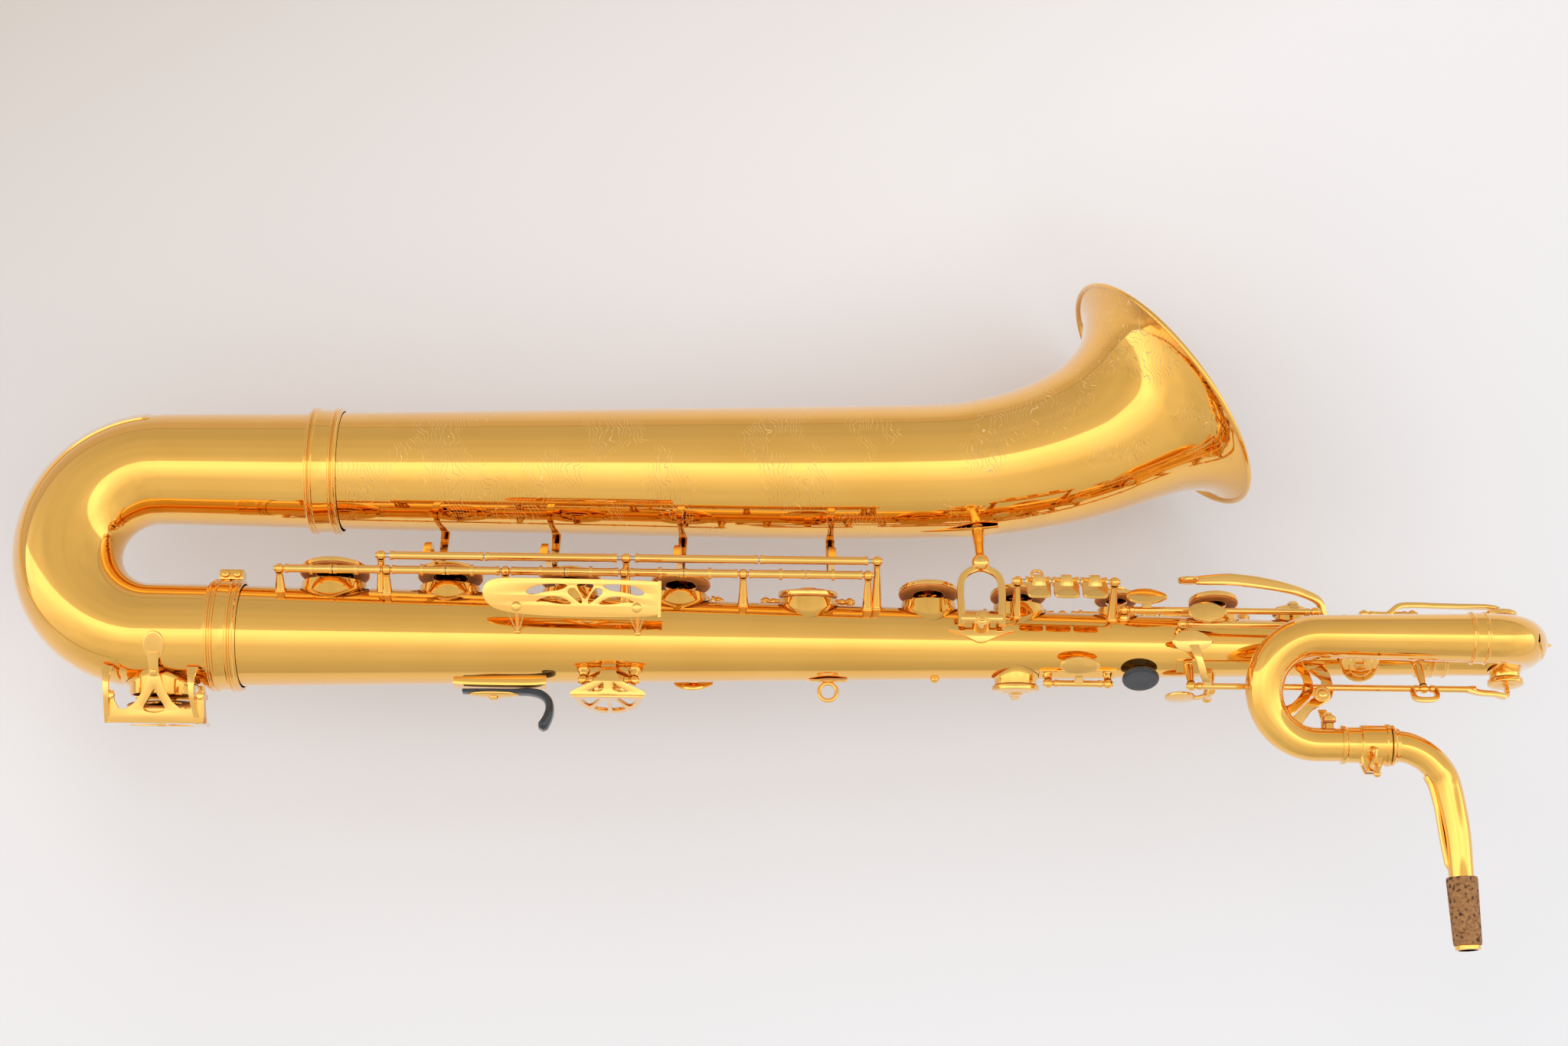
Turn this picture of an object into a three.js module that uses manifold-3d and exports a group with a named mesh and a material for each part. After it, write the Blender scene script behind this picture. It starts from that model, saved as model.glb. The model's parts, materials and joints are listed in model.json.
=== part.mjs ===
// Baritone saxophone with low A, standing upright on its bow.
// Millimetres, +Z up. The body tube runs up the Z axis, the bell opens towards -Y,
// the player stands on the +Y side and the player's left hand is at +X.
import * as THREE from "three";
import { mergeVertices } from "three/addons/utils/BufferGeometryUtils.js";
import Module from "manifold-3d";

const wasm = await Module();
wasm.setup();

// ---------------------------------------------------------------- dimensions
const WALL = 1.2; // sheet brass of the tubes
const GAP = 0.3; // air between two separate pieces
const BODY_BOTTOM = 150;
const BODY_TOP = 964;
const BODY_RADIUS = 34.5; // outer radius at the bottom of the body tube
const BODY_TAPER = 0.0215; // radius lost per millimetre of height
const BOW_CENTRE_Z = 97;
const BOW_BEND = 60; // half the distance between the body and bell axes at the bow
const BELL_JOINT_Z = 210;
const RIM_RADIUS = 92;
const LEG_X = 50; // the outer leg of the crook's loop
const LEG_Y = 7;
const NECK_X = 28; // the neck receiver
const NECK_Y = 75;
const RECEIVER_TOP = 927;
const CHIMNEY = 4; // height of a tone hole's rim above the tube
const CHIMNEY_WALL = 1.2;
const HOLE_SIDES = 10;
const CUP_SIDES = 12;
const PAD_DROP = 0.8; // how far a pad stands out of its cup
const CUP_HEIGHT = 5.2;
const ROD_RADIUS = 1.5;
const TUBE_RADIUS = 3.2; // hinge tubes and solid key rods
const TUBE_BORE = 2;
const POST_HEAD = 3.1;
const STACK_ANGLE = 5; // the stack keys, degrees from the front towards the left hand
const LOW_C_Z = 108; // the low C tone hole, on the end of the bow
const LOW_C_ANGLE = 192; // round the bow from the bell side
const BELL_KEY_ANGLE = -77; // the bell keys, on the side away from the left hand
const STACK_OPEN = 10; // degrees an open key is lifted at rest
const BELL_OPEN = 6;
const CLOSED_LIFT = 9; // degrees a closed key opens

const UP = new THREE.Vector3(0, 0, 1);
const ACROSS = new THREE.Vector3(1, 0, 0);
const BACK = new THREE.Vector3(0, 1, 0);

// ---------------------------------------------------------------- materials
function material(color, roughness, metalness) {
  return new THREE.MeshStandardMaterial({ color, roughness, metalness });
}
const lacquer = () => material(0xd9a441, 0.18, 1);
const steel = () => material(0xb9bcc2, 0.3, 1);
const leather = () => material(0xa4511d, 0.6, 0);
const cork = () => material(0xa57c55, 0.9, 0);
const blackPlastic = () => material(0x14161a, 0.35, 0);

// ---------------------------------------------------------------- solids
function indexed(geometry) {
  const bare = geometry.index ? geometry.toNonIndexed() : geometry.clone();
  bare.deleteAttribute("normal");
  bare.deleteAttribute("uv");
  return mergeVertices(bare, 1e-3);
}

function signedVolume(positions, faces) {
  const [a, b, c] = [new THREE.Vector3(), new THREE.Vector3(), new THREE.Vector3()];
  let volume = 0;
  for (let i = 0; i < faces.length; i += 3) {
    a.fromArray(positions, 3 * faces[i]);
    b.fromArray(positions, 3 * faces[i + 1]);
    c.fromArray(positions, 3 * faces[i + 2]);
    volume += a.dot(b.cross(c));
  }
  return volume;
}

function solid(geometry) {
  const merged = indexed(geometry);
  const positions = merged.attributes.position.array;
  const source = merged.index.array;
  const faces = [];
  for (let i = 0; i < source.length; i += 3) {
    const [a, b, c] = [source[i], source[i + 1], source[i + 2]];
    if (a !== b && b !== c && c !== a) faces.push(a, b, c);
  }
  if (signedVolume(positions, faces) < 0) faces.reverse();
  return new wasm.Manifold(
    new wasm.Mesh({ numProp: 3, vertProperties: positions, triVerts: new Uint32Array(faces) }),
  );
}

function join(...solids) {
  return solids.flat().reduce((whole, piece) => whole.add(piece));
}

function cut(whole, ...tools) {
  return tools.flat().reduce((rest, tool) => rest.subtract(tool), whole);
}

function geometryOf(body) {
  const mesh = body.getMesh();
  const geometry = new THREE.BufferGeometry();
  geometry.setAttribute("position", new THREE.BufferAttribute(mesh.vertProperties, 3));
  geometry.setIndex(new THREE.BufferAttribute(mesh.triVerts, 1));
  geometry.computeVertexNormals();
  return geometry;
}

// ---------------------------------------------------------------- placing
const vec = (x, y, z) => new THREE.Vector3(x, y, z);
const radians = THREE.MathUtils.degToRad;

// A direction `angle` degrees round from the front (-Y) towards the left hand (+X).
function outward(angle) {
  return vec(Math.sin(radians(angle)), -Math.cos(radians(angle)), 0);
}

function polar(angle, rho, z) {
  return outward(angle).multiplyScalar(rho).setZ(z);
}

// A point on the low C key's parts, given as if its tone hole faced the player squarely.
function lowCPoint(x, y, z) {
  return vec(x, y, z).applyAxisAngle(vec(0, 0, 1), radians(LOW_C_ANGLE - 180));
}

// A point beside a key: `side` millimetres round the tube and `rho` out from the axis.
function beside(angle, side, rho, z) {
  const along = outward(angle + 90);
  return along.multiplyScalar(side).add(polar(angle, rho, 0)).setZ(z);
}

function interpolate(table, z) {
  const next = table.findIndex((row) => row[0] >= z);
  if (next <= 0) return table[next === 0 ? 0 : table.length - 1].slice(1);
  const [low, high] = [table[next - 1], table[next]];
  const share = (z - low[0]) / (high[0] - low[0]);
  return low.slice(1).map((value, i) => value + share * (high[i + 1] - value));
}

function bodyRadius(z) {
  return BODY_RADIUS - BODY_TAPER * (z - BODY_BOTTOM);
}

// Turns a shape made round +Z so that +Z points along `direction`, and moves it to `at`.
function aim(geometry, at, direction) {
  const turn = new THREE.Quaternion().setFromUnitVectors(UP, direction.clone().normalize());
  geometry.applyQuaternion(turn);
  return geometry.translate(at.x, at.y, at.z);
}

// ---------------------------------------------------------------- shapes
// A solid of revolution round +Z from [radius, height] pairs.
function turned(profile, sides) {
  const points = profile.map(([r, h]) => new THREE.Vector2(r, h));
  return new THREE.LatheGeometry(points, sides).rotateX(Math.PI / 2);
}

function cylinderBetween(from, to, radius, sides, endRadius = radius) {
  const length = from.distanceTo(to);
  const profile = [[0, 0], [radius, 0], [endRadius, length], [0, length]];
  return solid(aim(turned(profile, sides), from, to.clone().sub(from)));
}

function hollowTube(x, y, low, high) {
  const profile = [
    [TUBE_BORE, low],
    [TUBE_RADIUS, low],
    [TUBE_RADIUS, high],
    [TUBE_BORE, high],
    [TUBE_BORE, low],
  ];
  return solid(turned(profile, 6).translate(x, y, 0));
}

// The rings of a round tube along a path, each square to the path.
function ringsAlong(path, radiusAt, sides) {
  const last = path.length - 1;
  const tangents = path.map((_, i) =>
    path[Math.min(i + 1, last)].clone().sub(path[Math.max(i - 1, 0)]).normalize(),
  );
  let side = Math.abs(tangents[0].x) < 0.9 ? ACROSS.clone() : BACK.clone();
  return path.map((point, i) => {
    side = side.clone().addScaledVector(tangents[i], -side.dot(tangents[i])).normalize();
    const other = tangents[i].clone().cross(side);
    const radius = radiusAt(i);
    return Array.from({ length: sides }, (_, k) => {
      const turn = (2 * Math.PI * k) / sides;
      return point
        .clone()
        .addScaledVector(side, radius * Math.cos(turn))
        .addScaledVector(other, radius * Math.sin(turn));
    });
  });
}

// A closed skin over rings of equal size. A looped skin joins its last ring to its first.
function skin(rings, looped) {
  const count = rings[0].length;
  const positions = rings.flat().flatMap((p) => [p.x, p.y, p.z]);
  const faces = [];
  const spans = looped ? rings.length : rings.length - 1;
  for (let i = 0; i < spans; i++) {
    const [near, far] = [i * count, ((i + 1) % rings.length) * count];
    for (let k = 0; k < count; k++) {
      const next = (k + 1) % count;
      faces.push(near + k, near + next, far + next, near + k, far + next, far + k);
    }
  }
  const end = (rings.length - 1) * count;
  for (let k = 1; !looped && k < count - 1; k++) {
    faces.push(0, k + 1, k);
    faces.push(end, end + k, end + k + 1);
  }
  const geometry = new THREE.BufferGeometry();
  geometry.setAttribute("position", new THREE.Float32BufferAttribute(positions, 3));
  geometry.setIndex(faces);
  return geometry;
}

// An open-ended sheet metal tube.
function pipe(path, radii, sides) {
  const outer = ringsAlong(path, (i) => radii[i], sides);
  const inner = ringsAlong(path, (i) => radii[i] - WALL, sides);
  return solid(skin([...outer, ...inner.reverse()], true));
}

// A flat strip through `points`, `width` along `across` and `thickness` the other way.
function strip(points, width, thickness, across = UP) {
  const last = points.length - 1;
  const rings = points.map((point, i) => {
    const along = points[Math.min(i + 1, last)].clone().sub(points[Math.max(i - 1, 0)]);
    const flat = along.clone().cross(across).normalize().multiplyScalar(thickness / 2);
    const wide = flat.clone().cross(along).normalize().multiplyScalar(width / 2);
    return [[1, 1], [-1, 1], [-1, -1], [1, -1]].map(([a, b]) =>
      point.clone().addScaledVector(wide, a).addScaledVector(flat, b),
    );
  });
  return solid(skin(rings, false));
}

function ball(at, radius) {
  return solid(new THREE.IcosahedronGeometry(radius, 0).translate(at.x, at.y, at.z));
}

// An oval finger plate facing `direction`, longer along its own Y before turning.
function plate(at, direction, width, length, thickness = 2) {
  const profile = [[0, 0], [1, 0], [1, thickness], [0, thickness]];
  const geometry = turned(profile, 10).scale(width / 2, 1, 1).scale(1, length / 2, 1);
  const upright = new THREE.Matrix4().makeBasis(
    direction.clone().cross(UP).normalize().negate(),
    UP,
    direction.clone().normalize().negate(),
  );
  return solid(geometry.applyMatrix4(upright).translate(at.x, at.y, at.z));
}

// ---------------------------------------------------------------- tone holes, cups and pads
// A seat is one tone hole: `from` on the tube's axis, `out` away from it,
// `top` the height of the rim above the axis and `cup` the radius of its cup.
function seat(from, out, tubeRadius, cup) {
  return { from, out, cup, top: tubeRadius + CHIMNEY, hole: cup - 3 };
}

function above(place, height) {
  return place.from.clone().addScaledVector(place.out, place.top + GAP + PAD_DROP + height);
}

function chimney(place) {
  const top = place.from.clone().addScaledVector(place.out, place.top);
  return cylinderBetween(place.from, top, place.hole + CHIMNEY_WALL, HOLE_SIDES);
}

function chimneyHole(place) {
  const top = place.from.clone().addScaledVector(place.out, place.top + 5);
  return cylinderBetween(place.from, top, place.hole, HOLE_SIDES);
}

function cupWithRecess(place) {
  const r = place.cup;
  const floor = 2.6;
  const profile = [
    [0, CUP_HEIGHT],
    [0.7 * r, CUP_HEIGHT - 0.6],
    [r, 3],
    [r, 0],
    [r - 1.2, 0],
    [r - 1.2, floor],
    [0, floor],
  ];
  return solid(aim(turned(profile, CUP_SIDES), above(place, 0), place.out));
}

function cupWithPad(place) {
  const r = place.cup;
  const profile = [
    [0, CUP_HEIGHT],
    [0.7 * r, CUP_HEIGHT - 0.6],
    [r, 3],
    [r, 0],
    [r - 1.2, -PAD_DROP],
    [0, -PAD_DROP],
  ];
  return solid(aim(turned(profile, CUP_SIDES), above(place, 0), place.out));
}

function loosePad(place) {
  const r = place.cup - 1.2 - 2 * GAP;
  const profile = [[0, 2.3], [r, 2.3], [r, 0], [r - 1, -PAD_DROP], [0, -PAD_DROP]];
  return solid(aim(turned(profile, CUP_SIDES), above(place, 0), place.out));
}

// ---------------------------------------------------------------- the tubes' lines
// Height, distance of the bell's axis in front of the body's and outer radius.
const BELL_LINE = [
  [BELL_JOINT_Z, 120.6, 40.4],
  [510, 123, 45.7],
  [642, 126, 46.8],
  [691, 134, 49],
  [737, 149, 53.6],
  [761, 167, 60],
];

function bellSeat(angle, z, cup) {
  const [forward, radius] = interpolate(BELL_LINE, z);
  return seat(vec(0, -forward, z), outward(angle), radius, cup);
}

function bodySeat(angle, z, cup) {
  return seat(vec(0, 0, z), outward(angle), bodyRadius(z), cup);
}

function arc(steps, at) {
  return Array.from({ length: steps + 1 }, (_, i) => at((Math.PI * i) / steps));
}

const BOW_PATH = [
  vec(0, 0, BODY_BOTTOM - GAP),
  ...arc(10, (turn) =>
    vec(0, -BOW_BEND * (1 - Math.cos(turn)), BOW_CENTRE_Z - BOW_BEND * Math.sin(turn)),
  ),
  vec(0, -2 * BOW_BEND, BELL_JOINT_Z - GAP),
];

const LOOP_BEND = LEG_X / 2;
const LOOP_Z = 996;
const S_BEND_Z = 881;
const LOOP_ARC = arc(8, (turn) =>
  vec(
    LOOP_BEND * (1 - Math.cos(turn)),
    (LEG_Y * (1 - Math.cos(turn))) / 2,
    LOOP_Z + LOOP_BEND * Math.sin(turn),
  ),
);
const S_ARC = arc(8, (turn) => {
  const share = (1 - Math.cos(turn)) / 2;
  return vec(
    LEG_X + share * (NECK_X - LEG_X),
    LEG_Y + share * (NECK_Y - LEG_Y),
    S_BEND_Z - 35.5 * Math.sin(turn),
  );
});
const CROOK_PATH = [
  vec(0, 0, BODY_TOP + GAP),
  ...LOOP_ARC,
  ...S_ARC,
  vec(NECK_X, NECK_Y, 900),
];

const NECK_PATH = [
  [NECK_X, NECK_Y, 931],
  [27, 79, 948],
  [25, 88, 959],
  [22, 100, 966],
  [18, 128, 971],
  [14, 158, 973],
  [10, 207, 975],
].map(([x, y, z]) => vec(x, y, z));
const NECK_RADII = [10.4, 10.2, 10, 9.7, 9, 8.4, 7.6];

const seats = {
  d: bodySeat(STACK_ANGLE, 221, 24),
  e: bodySeat(STACK_ANGLE, 300, 22.5),
  f: bodySeat(STACK_ANGLE, 382, 21),
  fsharp: bodySeat(STACK_ANGLE, 457, 20.5),
  gsharp: bodySeat(12, 544, 20.5),
  g: bodySeat(STACK_ANGLE, 626, 20.5),
  a: bodySeat(STACK_ANGLE, 687, 19),
  b: bodySeat(STACK_ANGLE, 754, 15),
  c: bodySeat(STACK_ANGLE, 820, 17),
  palm_d: bodySeat(0, 872, 12),
  palm_eb: bodySeat(130, 914, 13),
  low_eb: bodySeat(-95, 190, 20),
  trill: bodySeat(185, 411, 14.5),
  side_bb: bodySeat(190, 685, 16),
  side_c: bodySeat(-90, 720, 13),
};
const bellSeats = {
  low_csharp: bellSeat(BELL_KEY_ANGLE, 286, 25),
  low_b: bellSeat(BELL_KEY_ANGLE, 365, 27),
  low_bb: bellSeat(BELL_KEY_ANGLE, 455, 28.5),
  low_a: bellSeat(BELL_KEY_ANGLE, 560, 30),
};
const lowCSeat = seat(vec(0, 0, LOW_C_Z), outward(LOW_C_ANGLE), 37, 24);
const loopSeats = {
  high_e: seat(vec(7.3, 1, 1013.7), BACK.clone().negate(), 17, 11.5),
  palm_f: seat(vec(7.3, 1, 1013.7), BACK.clone(), 17, 12),
};
const ventSeat = seat(vec(NECK_X, NECK_Y, 889), BACK.clone().negate(), 10.5, 5);

// ---------------------------------------------------------------- posts
// A post stands on a tube and carries a rod along `axis` through its rounded head.
function post(foot, head, axis = UP, bored = true) {
  const length = foot.distanceTo(head);
  const profile = [
    [0, 0],
    [3.4, 0],
    [2, length - 3.2],
    [POST_HEAD, length - 1.4],
    [POST_HEAD, length + 1.4],
    [0, length + 3.6],
  ];
  const whole = solid(aim(turned(profile, 6), foot, head.clone().sub(foot)));
  if (!bored) return whole;
  const through = axis.clone().multiplyScalar(9);
  const from = head.clone().sub(through);
  return cut(whole, cylinderBetween(from, head.clone().add(through), TUBE_BORE, 6));
}

function bodyPost(rod, z, bored) {
  const angle = THREE.MathUtils.radToDeg(Math.atan2(rod.x, -rod.y));
  const foot = polar(angle, bodyRadius(z) - 0.9, z);
  return post(foot, rod.clone().setZ(z), UP, bored);
}

// ---------------------------------------------------------------- hinge lines
const LOWER_STACK_ROD = beside(STACK_ANGLE, -33, 36, 0);
const UPPER_STACK_ROD = beside(STACK_ANGLE, -28, 28, 0);
const BELL_KEY_ROD = polar(35, 58, 0);
const TABLE_ROD = polar(48, 50, 0);
const FRONT_ROD = vec(31.5, -38, 0); // the long rod beside the stack cups
const GSHARP_ROD = beside(12, -30, 31, 0);
const LOW_EB_ROD = beside(-95, 28, 34, 0);
const TRILL_ROD = beside(185, -20, 32, 0);
const SIDE_BB_ROD = beside(200, 26, 20, 0);
const SIDE_C_ROD = beside(-90, 18, 26, 0);
const PALM_D_ROD = polar(45, 28, 0);
const PALM_EB_ROD = polar(75, 29, 0);
const PALM_F_ROD = vec(22, 34, 0);
const HIGH_E_ROD = vec(-9, -28, 0);
const FRONT_F_ROD = polar(-24, 28, 0);
const LOW_A_THUMB_ROD = polar(165, 30, 0);
const LOW_C_ROD = lowCPoint(-30, 40, 0);
const VENT_ROD = vec(14, 62, 0);
const OCTAVE_AXIS = vec(-7, 31, 816);

// ---------------------------------------------------------------- tubes
function bodyTube() {
  const outer = [
    [0, BODY_BOTTOM],
    [bodyRadius(BODY_BOTTOM), BODY_BOTTOM],
    [bodyRadius(BODY_TOP), BODY_TOP],
    [0, BODY_TOP],
  ];
  const bore = [
    [0, BODY_BOTTOM - 1],
    [bodyRadius(BODY_BOTTOM) - WALL, BODY_BOTTOM - 1],
    [bodyRadius(BODY_TOP) - WALL, BODY_TOP + 1],
    [0, BODY_TOP + 1],
  ];
  const holes = Object.values(seats);
  const walls = join(solid(turned(outer, 20)), holes.map(chimney));
  const shell = cut(walls, solid(turned(bore, 20)), holes.map(chimneyHole));
  const bored = [
    [LOWER_STACK_ROD, [198, 340, 482]],
    [UPPER_STACK_ROD, [598, 720, 845]],
    [BELL_KEY_ROD, [256, 421, 590]],
    [TABLE_ROD, [684, 749]],
    [FRONT_ROD, [188, 260, 340, 420, 500, 584]],
  ];
  const plain = [
    [GSHARP_ROD, [515, 573]],
    [LOW_EB_ROD, [172, 208]],
    [TRILL_ROD, [394, 428]],
    [SIDE_BB_ROD, [447, 705]],
    [SIDE_C_ROD, [495, 740]],
    [PALM_D_ROD, [757, 886]],
    [PALM_EB_ROD, [795, 909]],
    [PALM_F_ROD, [800, 955]],
    [HIGH_E_ROD, [925, 958]],
    [FRONT_F_ROD, [886, 912]],
    [LOW_A_THUMB_ROD, [706, 746]],
  ];
  const posts = [
    ...bored.flatMap(([rod, heights]) => heights.map((z) => bodyPost(rod, z, true))),
    ...plain.flatMap(([rod, heights]) => heights.map((z) => bodyPost(rod, z, false))),
    ...[-9.6, 9.6].map((side) => {
      const head = OCTAVE_AXIS.clone().add(vec(side, 0, 0));
      return post(vec(head.x * 0.6, 16.5, head.z), head, ACROSS, false);
    }),
  ];
  const hookBed = new THREE.BoxGeometry(14, 7, 62).translate(0, 31.8, 337);
  const added = join(posts, solid(hookBed));
  return cut(join(shell, added), solid(turned(bore, 20)));
}

function bow() {
  const radii = BOW_PATH.map((_, i) => 34.8 + (40 - 34.8) * (i / (BOW_PATH.length - 1)));
  const tube = pipe(BOW_PATH, radii, 20);
  const inside = solid(
    skin(ringsAlong(BOW_PATH, (i) => radii[i] - WALL, 20), false),
  );
  const walls = join(tube, cut(chimney(lowCSeat), inside));
  const posts = [LOW_C_Z - 21, LOW_C_Z + 21].map((z) => {
    const head = LOW_C_ROD.clone().setZ(z);
    return post(lowCPoint(-19, 24, z), head, UP, false);
  });
  return join(cut(walls, chimneyHole(lowCSeat)), posts.map((piece) => cut(piece, inside)));
}

function bell() {
  const rows = [...BELL_LINE, [779, 178.5, 73], [790, 186, RIM_RADIUS]];
  const tilt = [0, 0, 6, 16, 26, 34, 37, 38];
  const ring = (row, i, inset) => {
    const [z, forward, radius] = row;
    const lean = radians(tilt[i]);
    const forwardAxis = vec(0, Math.cos(lean), Math.sin(lean));
    return Array.from({ length: 24 }, (_, k) => {
      const turn = (2 * Math.PI * k) / 24;
      return vec(0, -forward, z)
        .addScaledVector(ACROSS, (radius - inset) * Math.cos(turn))
        .addScaledVector(forwardAxis, (radius - inset) * Math.sin(turn));
    });
  };
  const outer = rows.map((row, i) => ring(row, i, 0));
  const inner = rows.map((row, i) => ring(row, i, WALL));
  const tube = solid(skin([...outer, ...inner.reverse()], true));
  const lining = rows.map((row, i) => ring(row, i, WALL));
  const inside = solid(skin(lining, false));
  const holes = Object.values(bellSeats);
  const chimneys = holes.map((place) => cut(chimney(place), inside));
  return cut(join(tube, chimneys), holes.map(chimneyHole));
}

function crook() {
  const last = CROOK_PATH.length - 1;
  const radii = CROOK_PATH.map((_, i) => 17 - 6.3 * (i / last));
  const inside = solid(skin(ringsAlong(CROOK_PATH, (i) => radii[i] - WALL, 12), false));
  const receiver = [
    [10.8, 897],
    [13.4, 897],
    [13.4, RECEIVER_TOP],
    [10.8, RECEIVER_TOP],
    [10.8, 897],
  ];
  const collar = solid(turned(receiver, 16).translate(NECK_X, NECK_Y, 0));
  const holes = [...Object.values(loopSeats), ventSeat];
  const chimneys = holes.map((place) => cut(chimney(place), inside));
  const clampLugs = solid(
    new THREE.BoxGeometry(10, 9, 12).translate(NECK_X + 4, NECK_Y + 15, 915),
  );
  const vents = [877, 901].map((z) =>
    post(vec(20, 69.5, z), VENT_ROD.clone().setZ(z), UP, false),
  );
  const walls = join(pipe(CROOK_PATH, radii, 12), chimneys);
  const open = cut(walls, holes.map(chimneyHole));
  const screwHole = cylinderBetween(
    vec(NECK_X - 10, NECK_Y + 16.5, 915),
    vec(NECK_X + 20, NECK_Y + 16.5, 915),
    TUBE_BORE,
    6,
  );
  const lugs = cut(clampLugs, screwHole);
  return join(open, collar, lugs, vents.map((piece) => cut(piece, inside)));
}

// A ferrule that covers the joint of two tubes.
function ferrule(centre, low, high, inner, outer) {
  const profile = [
    [inner, low],
    [outer, low],
    [outer + 1.2, low + 2],
    [outer, low + 4],
    [outer, high - 4],
    [outer + 1.2, high - 2],
    [outer, high],
    [inner, high],
    [inner, low],
  ];
  return solid(turned(profile, 20).translate(centre.x, centre.y, 0));
}

function bodyBowRing() {
  const inner = bodyRadius(BODY_BOTTOM) + 0.8;
  const ring = ferrule(vec(0, 0, 0), 140, 162, inner, inner + 1.8);
  const lug = solid(new THREE.BoxGeometry(9, 8, 14).translate(0, -inner - 5, 151));
  return join(ring, lug);
}

// ---------------------------------------------------------------- fixed fittings
function bellBrace() {
  const z = 660;
  const yoke = [
    vec(33, -8, z - 13.5),
    vec(31.6, -24, z - 13.5),
    vec(29.5, -37, z - 12.5),
    vec(29, -44, z - 6),
    vec(29, -44, z + 6),
    vec(29.5, -37, z + 12.5),
    vec(31.6, -24, z + 13.5),
    vec(33, -8, z + 13.5),
  ];
  const legs = strip(yoke, 4, 3.4, ACROSS);
  const barrel = cylinderBetween(vec(33, -8, z - 14), vec(33, -8, z + 14), 3.6, 8);
  const bodyFoot = cylinderBetween(polar(76, bodyRadius(z) + 0.6, z), vec(32, -8, z), 4.5, 8);
  const [forward, radius] = interpolate(BELL_LINE, z);
  const facing = outward(172);
  const foot = vec(0, -forward, z).addScaledVector(facing, radius + 3.8);
  const stem = cylinderBetween(vec(29, -46, z), foot.clone().addScaledVector(facing, 1), 3, 8);
  const bellFoot = plate(foot, facing, 10, 24, 1.8);
  return join(legs, barrel, bodyFoot, ball(vec(29, -47, z), 5), stem, bellFoot);
}

function crookBracket() {
  const points = [vec(16.9, 11.2, 878), vec(24, 13, 878), vec(35.4, 11, 878)];
  return strip(points, 18, 2.4);
}

function bowKeyGuard() {
  const y = 60; // how far out the guard stands
  const [reach, low, high] = [20, LOW_C_Z - 31, LOW_C_Z + 30];
  const face = lowCPoint(0, 1, 0);
  const corners = [
    lowCPoint(reach, y, low),
    lowCPoint(reach, y, high),
    lowCPoint(-reach, y, high),
    lowCPoint(-reach, y, low),
    lowCPoint(reach, y, low),
  ];
  const sides = corners.slice(1).map((point, i) => {
    const from = corners[i];
    const past = point.clone().sub(from).normalize().multiplyScalar(1.5);
    return strip([from.clone().sub(past), point.clone().add(past)], 5, 3, face);
  });
  const bridge = strip([lowCPoint(-reach, y, LOW_C_Z), lowCPoint(reach, y, LOW_C_Z)], 5, 3, face);
  const nearLeg = (foot, bend, end) =>
    strip([lowCPoint(26, 27, foot), lowCPoint(28, 44, bend), lowCPoint(reach, y + 1, end)], 6, 2.4);
  const thirdLeg = [lowCPoint(0, 38.6, 136.2), lowCPoint(0, y, high)];
  const legs = [
    nearLeg(low - 2, low - 2, low),
    nearLeg(high - 3, high - 1, high),
    strip(thirdLeg, 7, 2.4, lowCPoint(1, 0, 0)),
  ];
  return join(sides, bridge, legs);
}

function trillKeyGuard() {
  const [near, y, z] = [19, 44.5, 411];
  const fence = arc(6, (turn) => vec(near - 39 * Math.sin(turn), y, z + 21.5 * Math.cos(turn)));
  const rim = strip(fence, 5, 2, BACK);
  const bar = strip([vec(near, y, z - 24), vec(near, y, z + 24)], 5, 2.4, BACK);
  const spoke = strip([vec(near, y, z), vec(near - 39, y, z)], 5, 2, BACK);
  const foot = strip([vec(near - 1, y - 1, z), vec(24, 36, z), vec(19.5, 22.5, z)], 8, 2);
  return join(rim, bar, spoke, foot);
}

function bellKeyGuard() {
  const facing = outward(BELL_KEY_ANGLE - 20);
  const height = 28;
  const at = (z, rho) => {
    const [forward, radius] = interpolate(BELL_LINE, z);
    return vec(0, -forward, z).addScaledVector(facing, radius + rho);
  };
  const line = [318, 410, 508, 606].map((z) => at(z, height));
  const rail = strip(line, 3, 10, facing);
  const feet = [324, 411, 508, 600].map((z) =>
    cylinderBetween(at(z, 0.5), at(z, height), 3.2, 6, 2.4),
  );
  return join(rail, feet);
}

// A flat sheet cut to a polygon, `depth` thick, from its own XY plane.
function sheet(corners, depth, matrix) {
  const outline = new THREE.Shape(corners.map(([x, y]) => new THREE.Vector2(x, y)));
  const geometry = new THREE.ExtrudeGeometry(outline, { depth, bevelEnabled: false });
  return solid(geometry.applyMatrix4(matrix));
}

function stackGuard() {
  const facing = outward(110);
  const matrix = new THREE.Matrix4()
    .makeBasis(UP, facing.clone().cross(UP), facing)
    .setPosition(48, -14, 387);
  const outline = [
    [-50, -12],
    [58, -12],
    [58, 12],
    [-50, 12],
    [-59, 6],
    [-60, -3],
  ];
  const windows = [-36, -9, 18].map((start) => {
    const corners = [
      [start, -5],
      [start + 22, -5],
      [start + 11, 7],
    ];
    return sheet(corners, 6, matrix.clone().multiply(new THREE.Matrix4().setPosition(0, 0, -2)));
  });
  const cover = cut(sheet(outline, 1.8, matrix), windows);
  const legs = [350, 430].map((z) =>
    cylinderBetween(polar(98, bodyRadius(z) + 1.6, z), vec(48.4, -8, z), 2.4, 6),
  );
  return join(cover, legs);
}

function strapRing() {
  const z = 558;
  const surface = bodyRadius(z);
  const ring = new THREE.TorusGeometry(6, 1.5, 6, 12).rotateY(Math.PI / 2);
  const hoop = solid(ring.translate(0, surface + 9, z));
  const base = solid(new THREE.BoxGeometry(7, 2, 26).translate(0, surface + 1.4, z));
  return join(base, hoop);
}

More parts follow.
